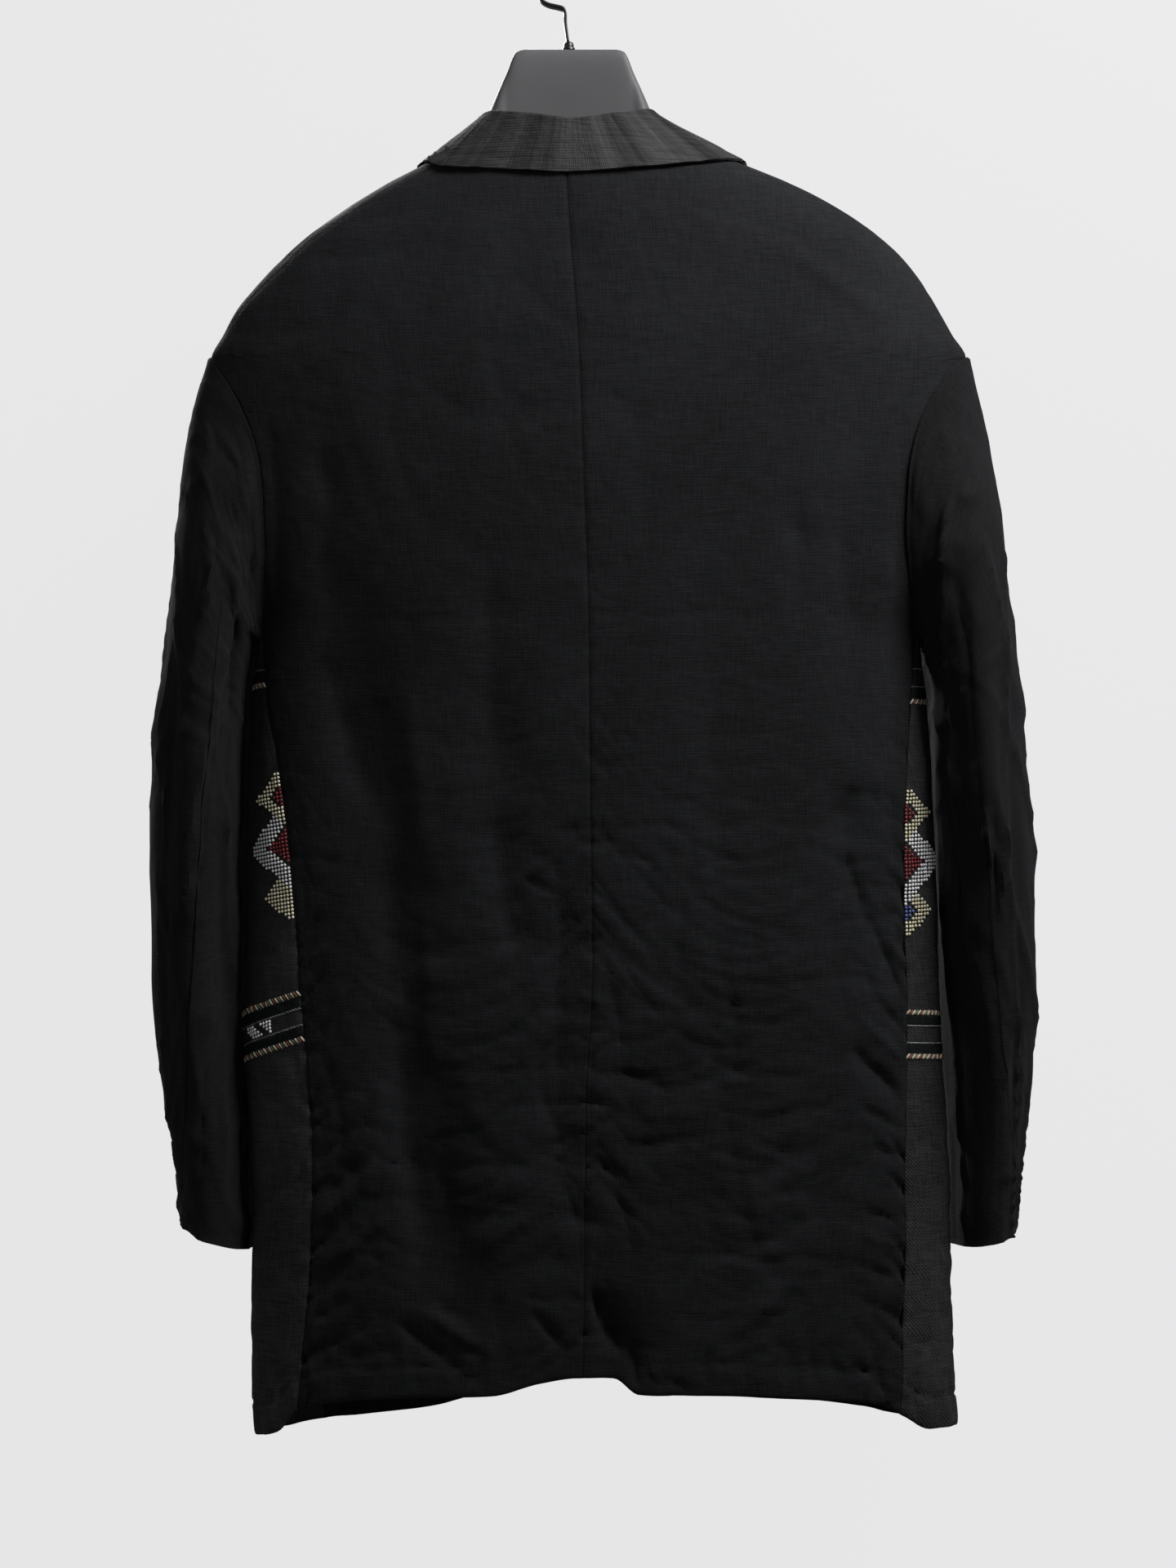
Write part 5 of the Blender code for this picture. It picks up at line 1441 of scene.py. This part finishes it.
def cloth_material(name, tone, spread, pitch, slub, bump, streak=0, grain=1, twill=False):
    """Woven cloth: threads both ways, slubs, uneven dye and painted shade in a dark line at its
    seams.
    """
    material, tree, shader = nodes_of(name)
    flat = add(tree, "ShaderNodeAttribute", attribute_name="weave").outputs["Vector"]
    scaled = add(tree, "ShaderNodeVectorMath", operation="SCALE", Scale=grain, Vector=flat)
    source = scaled.outputs[0]
    weft = slanted_noise(tree, source, (70, 420, 0), (0, 1100, 0))
    warp = slanted_noise(tree, source, (1100, 0, 0), (420, 60, 0))
    coarse = slanted_noise(tree, source, (24, 300, 0), (0, 420, 0))
    patches = stretched_noise(tree, source, (13, 7, 0), 5.0)
    parts = [(weft, slub), (warp, slub), (coarse, slub * 0.3), (patches, 0.7)]
    if streak:
        parts.append((stretched_noise(tree, source, (75, 5, 0), 3.0), streak))
    total = sum(weight for _, weight in parts)
    level = weighted(tree, [(value, weight / total) for value, weight in parts])
    dark, light = (tuple(c * (1 + lean * spread) for c in tone) for lean in (-1, 1))
    shade = add(tree, "ShaderNodeMix", data_type="RGBA", blend_type="MULTIPLY")
    shade.inputs[0].default_value = 1
    tree.links.new(ramp(tree, level, ((0.36, dark), (0.64, light))), shade.inputs[6])
    # Painted shade in the seams' grooves, which darkens the cloth along its panel edges.
    tree.links.new(painted_seam_shade(tree, flat), shade.inputs[7])
    across, along = add(tree, "ShaderNodeSeparateXYZ", Vector=source).outputs[:2]
    turn = 2 * math.pi / (pitch * MM)
    wave = lambda value, rate: math_node(tree, "SINE", math_node(tree, "MULTIPLY", value, rate))
    rumples = stretched_noise(tree, flat, (110, 150, 0), 6.0, 0.62)
    heights = [(wave(across, turn), 0.2), (wave(along, turn), 0.2)]
    heights += [(weft, 0.9), (warp, 0.9), (coarse, 0.5), (rumples, 3.5)]
    if twill:
        heights.append((wave(math_node(tree, "ADD", across, along), turn / 2), 0.6))
    height = weighted(tree, heights)
    bumps = add(tree, "ShaderNodeBump", Strength=bump, Distance=0.0004, Height=height)
    values = {
        "Base Color": shade.outputs[2],
        "Normal": bumps.outputs[0],
        "Roughness": 0.9,
        "Specular IOR Level": 0.1,
        "Sheen Weight": 0.02,
        "Sheen Roughness": 0.5,
        "Sheen Tint": (0.8, 0.82, 0.9, 1),
    }
    feed(tree, shader, values)
    return material


def speckled_material(name, dark, light, roughness, specular, scale, bump, metallic=0):
    """A hard finish with a faint cloudy tone and a fine grain."""
    material, tree, shader = nodes_of(name)
    source = add(tree, "ShaderNodeTexCoord").outputs["Object"]
    cloud = stretched_noise(tree, source, (scale, scale, scale), 4.0)
    grain = stretched_noise(tree, source, (scale * 14, scale * 14, scale * 14), 2.0)
    bumps = add(tree, "ShaderNodeBump", Strength=bump, Distance=0.0002, Height=grain)
    values = {
        "Base Color": ramp(tree, cloud, ((0.3, dark), (0.7, light))),
        "Normal": bumps.outputs[0],
        "Roughness": roughness,
        "Specular IOR Level": specular,
        "Metallic": metallic,
    }
    feed(tree, shader, values)
    return material


def make_camera():
    """The photo's own view: straight on to the back, a little over 2 m away."""
    camera = bpy.data.cameras.new("camera")
    camera.sensor_width = SENSOR
    camera.lens = SENSOR * CAMERA_AWAY / FRAME_HEIGHT
    camera.clip_start, camera.clip_end = 0.05, 60
    place = (CAMERA_X, -CAMERA_AWAY, CAMERA_Z)
    bpy.context.scene.camera = put("camera", camera, place, (math.pi / 2, 0, 0))


def make_lamp(name, place, aim, size, power):
    """A soft lamp, aimed at a place."""
    lamp = bpy.data.lights.new(name, "AREA")
    lamp.shape = "RECTANGLE"
    lamp.size, lamp.size_y = size
    lamp.energy = power
    ahead = Vector(aim) - Vector(place)
    put(name, lamp, place, ahead.to_track_quat("-Z", "Y").to_euler())


def make_stage():
    """A pale wall that gives off its own light, and a floor far below. It is clear from behind."""
    material, tree, shader = nodes_of("pale_paint")
    values = {
        "Base Color": (*WALL_TONE, 1),
        "Roughness": 0.9,
        "Specular IOR Level": 0.1,
        "Emission Color": (0.99, 0.99, 1, 1),
        "Emission Strength": WALL_GLOW,
    }
    feed(tree, shader, values)
    mix = add(tree, "ShaderNodeMixShader")
    facing = add(tree, "ShaderNodeNewGeometry").outputs["Backfacing"]
    clear = add(tree, "ShaderNodeBsdfTransparent").outputs[0]
    for k, source in enumerate((facing, shader.outputs[0], clear)):
        tree.links.new(source, mix.inputs[k])
    tree.links.new(mix.outputs[0], tree.nodes["Material Output"].inputs["Surface"])
    line = [(WALL_Y, STAGE_TOP)]
    for swing in np.linspace(0, math.pi / 2, 13):
        y = WALL_Y - STAGE_BEND * (1 - math.cos(swing))
        line.append((y, FLOOR_Z + STAGE_BEND * (1 - math.sin(swing))))
    line.append((STAGE_FRONT, FLOOR_Z))
    points = [(x, y, z) for y, z in line for x in (-STAGE_SIDE, STAGE_SIDE)]
    faces = [(k, k + 2, k + 3, k + 1) for k in range(0, len(points) - 2, 2)]
    mesh = bpy.data.meshes.new("backdrop")
    mesh.from_pydata(points, [], faces)
    mesh.shade_smooth()
    mesh.materials.append(material)
    wall = put("backdrop", mesh)
    wall.visible_shadow = wall.visible_diffuse = wall.visible_glossy = False


def make_light():
    """Soft lamps on the jacket's back and front, in a dim and even room."""
    world = bpy.data.worlds.new("pale_room")
    world.use_nodes = True
    values = {"Color": (*ROOM_TONE, 1), "Strength": ROOM_LIGHT}
    feed(world.node_tree, world.node_tree.nodes["Background"], values)
    bpy.context.scene.world = world
    for lamp in LAMPS:
        make_lamp(*lamp)


# Cloths: name, tone, spread, thread's pitch, slubs, bump, streaks, scale of the grain, twill.
CLOTHS = {
    "linen": ("black_linen", (0.0094, 0.0097, 0.0106), 0.6, 0.75, 1.1, 0.5),
    # The sleeves' linen is the body's black linen made darker: painted shade for the shade that the
    # body and shoulders cast on the sleeves.
    "sleeve": ("black_sleeve_linen", (0.0071, 0.007, 0.0077), 0.6, 0.75, 1.1, 0.5),
    "twill": ("woven_twill", (0.026, 0.0258, 0.0268), 0.7, 1.3, 0.9, 0.6, 0, 1, True),
    "collar": ("washed_linen", (0.019, 0.019, 0.0195), 1.6, 0.9, 1.3, 0.8, 2.6, 0.5),
    "ground": ("ribbed_ground", (0.0075, 0.0105, 0.0095), 0.4, 0.9, 0.8, 0.5),
}
YARN = (0.85, 0.2, 260, 0.5)
BEAD = (0.35, 0.5, 120, 0.1)
# Hard finishes: name, dark, light, roughness, specular, scale, bump, metal.
HARD = {
    "cream": ("cream_yarn", (0.42, 0.38, 0.3), (0.62, 0.58, 0.48), *YARN),
    "brown": ("brown_yarn", (0.14, 0.05, 0.03), (0.25, 0.1, 0.06), *YARN),
    "olive": ("olive_yarn", (0.1, 0.1, 0.05), (0.2, 0.2, 0.1), *YARN),
    "grey": ("grey_yarn", (0.12, 0.12, 0.115), (0.3, 0.3, 0.29), *YARN),
    "bead_cream": ("cream_bead", (0.68, 0.62, 0.42), (0.85, 0.8, 0.6), *BEAD),
    "bead_white": ("white_bead", (0.75, 0.75, 0.76), (0.92, 0.92, 0.93), *BEAD),
    "bead_red": ("red_bead", (0.16, 0.015, 0.02), (0.3, 0.03, 0.035), *BEAD),
    "bead_blue": ("blue_bead", (0.05, 0.08, 0.25), (0.12, 0.17, 0.4), *BEAD),
    "horn": ("dark_horn", (0.008, 0.007, 0.006), (0.03, 0.024, 0.02), 0.3, 0.5, 90, 0.05),
    "thread": ("black_thread", (0.006,) * 3, (0.02,) * 3, 0.8, 0.2, 300, 0.4),
    "plastic": ("grey_plastic", (0.07, 0.07, 0.073), (0.085, 0.085, 0.088), 0.55, 0.25, 12, 0.05),
    "metal": ("blackened_steel", (0.035, 0.035, 0.038), (0.07, 0.07, 0.074), 0.4, 0.5, 60, 0.05, 1),
}
finishes = {key: cloth_material(*values) for key, values in CLOTHS.items()}
finishes |= {key: speckled_material(*values) for key, values in HARD.items()}
make_camera()
make_light()
make_stage()
make_backs(finishes["linen"])
make_side_panels(finishes["twill"])
make_fronts(finishes["linen"])
make_lapels(finishes["linen"])
make_collar(finishes["collar"])
make_sleeves(finishes["sleeve"])
for word, side in SIDES:
    make_ropes(word, side, finishes)
    make_beads(word, side, finishes)
make_buttons(finishes["horn"], finishes["thread"])
make_hanger(finishes["plastic"])
make_hook(finishes["metal"])
make_nut(finishes["metal"])
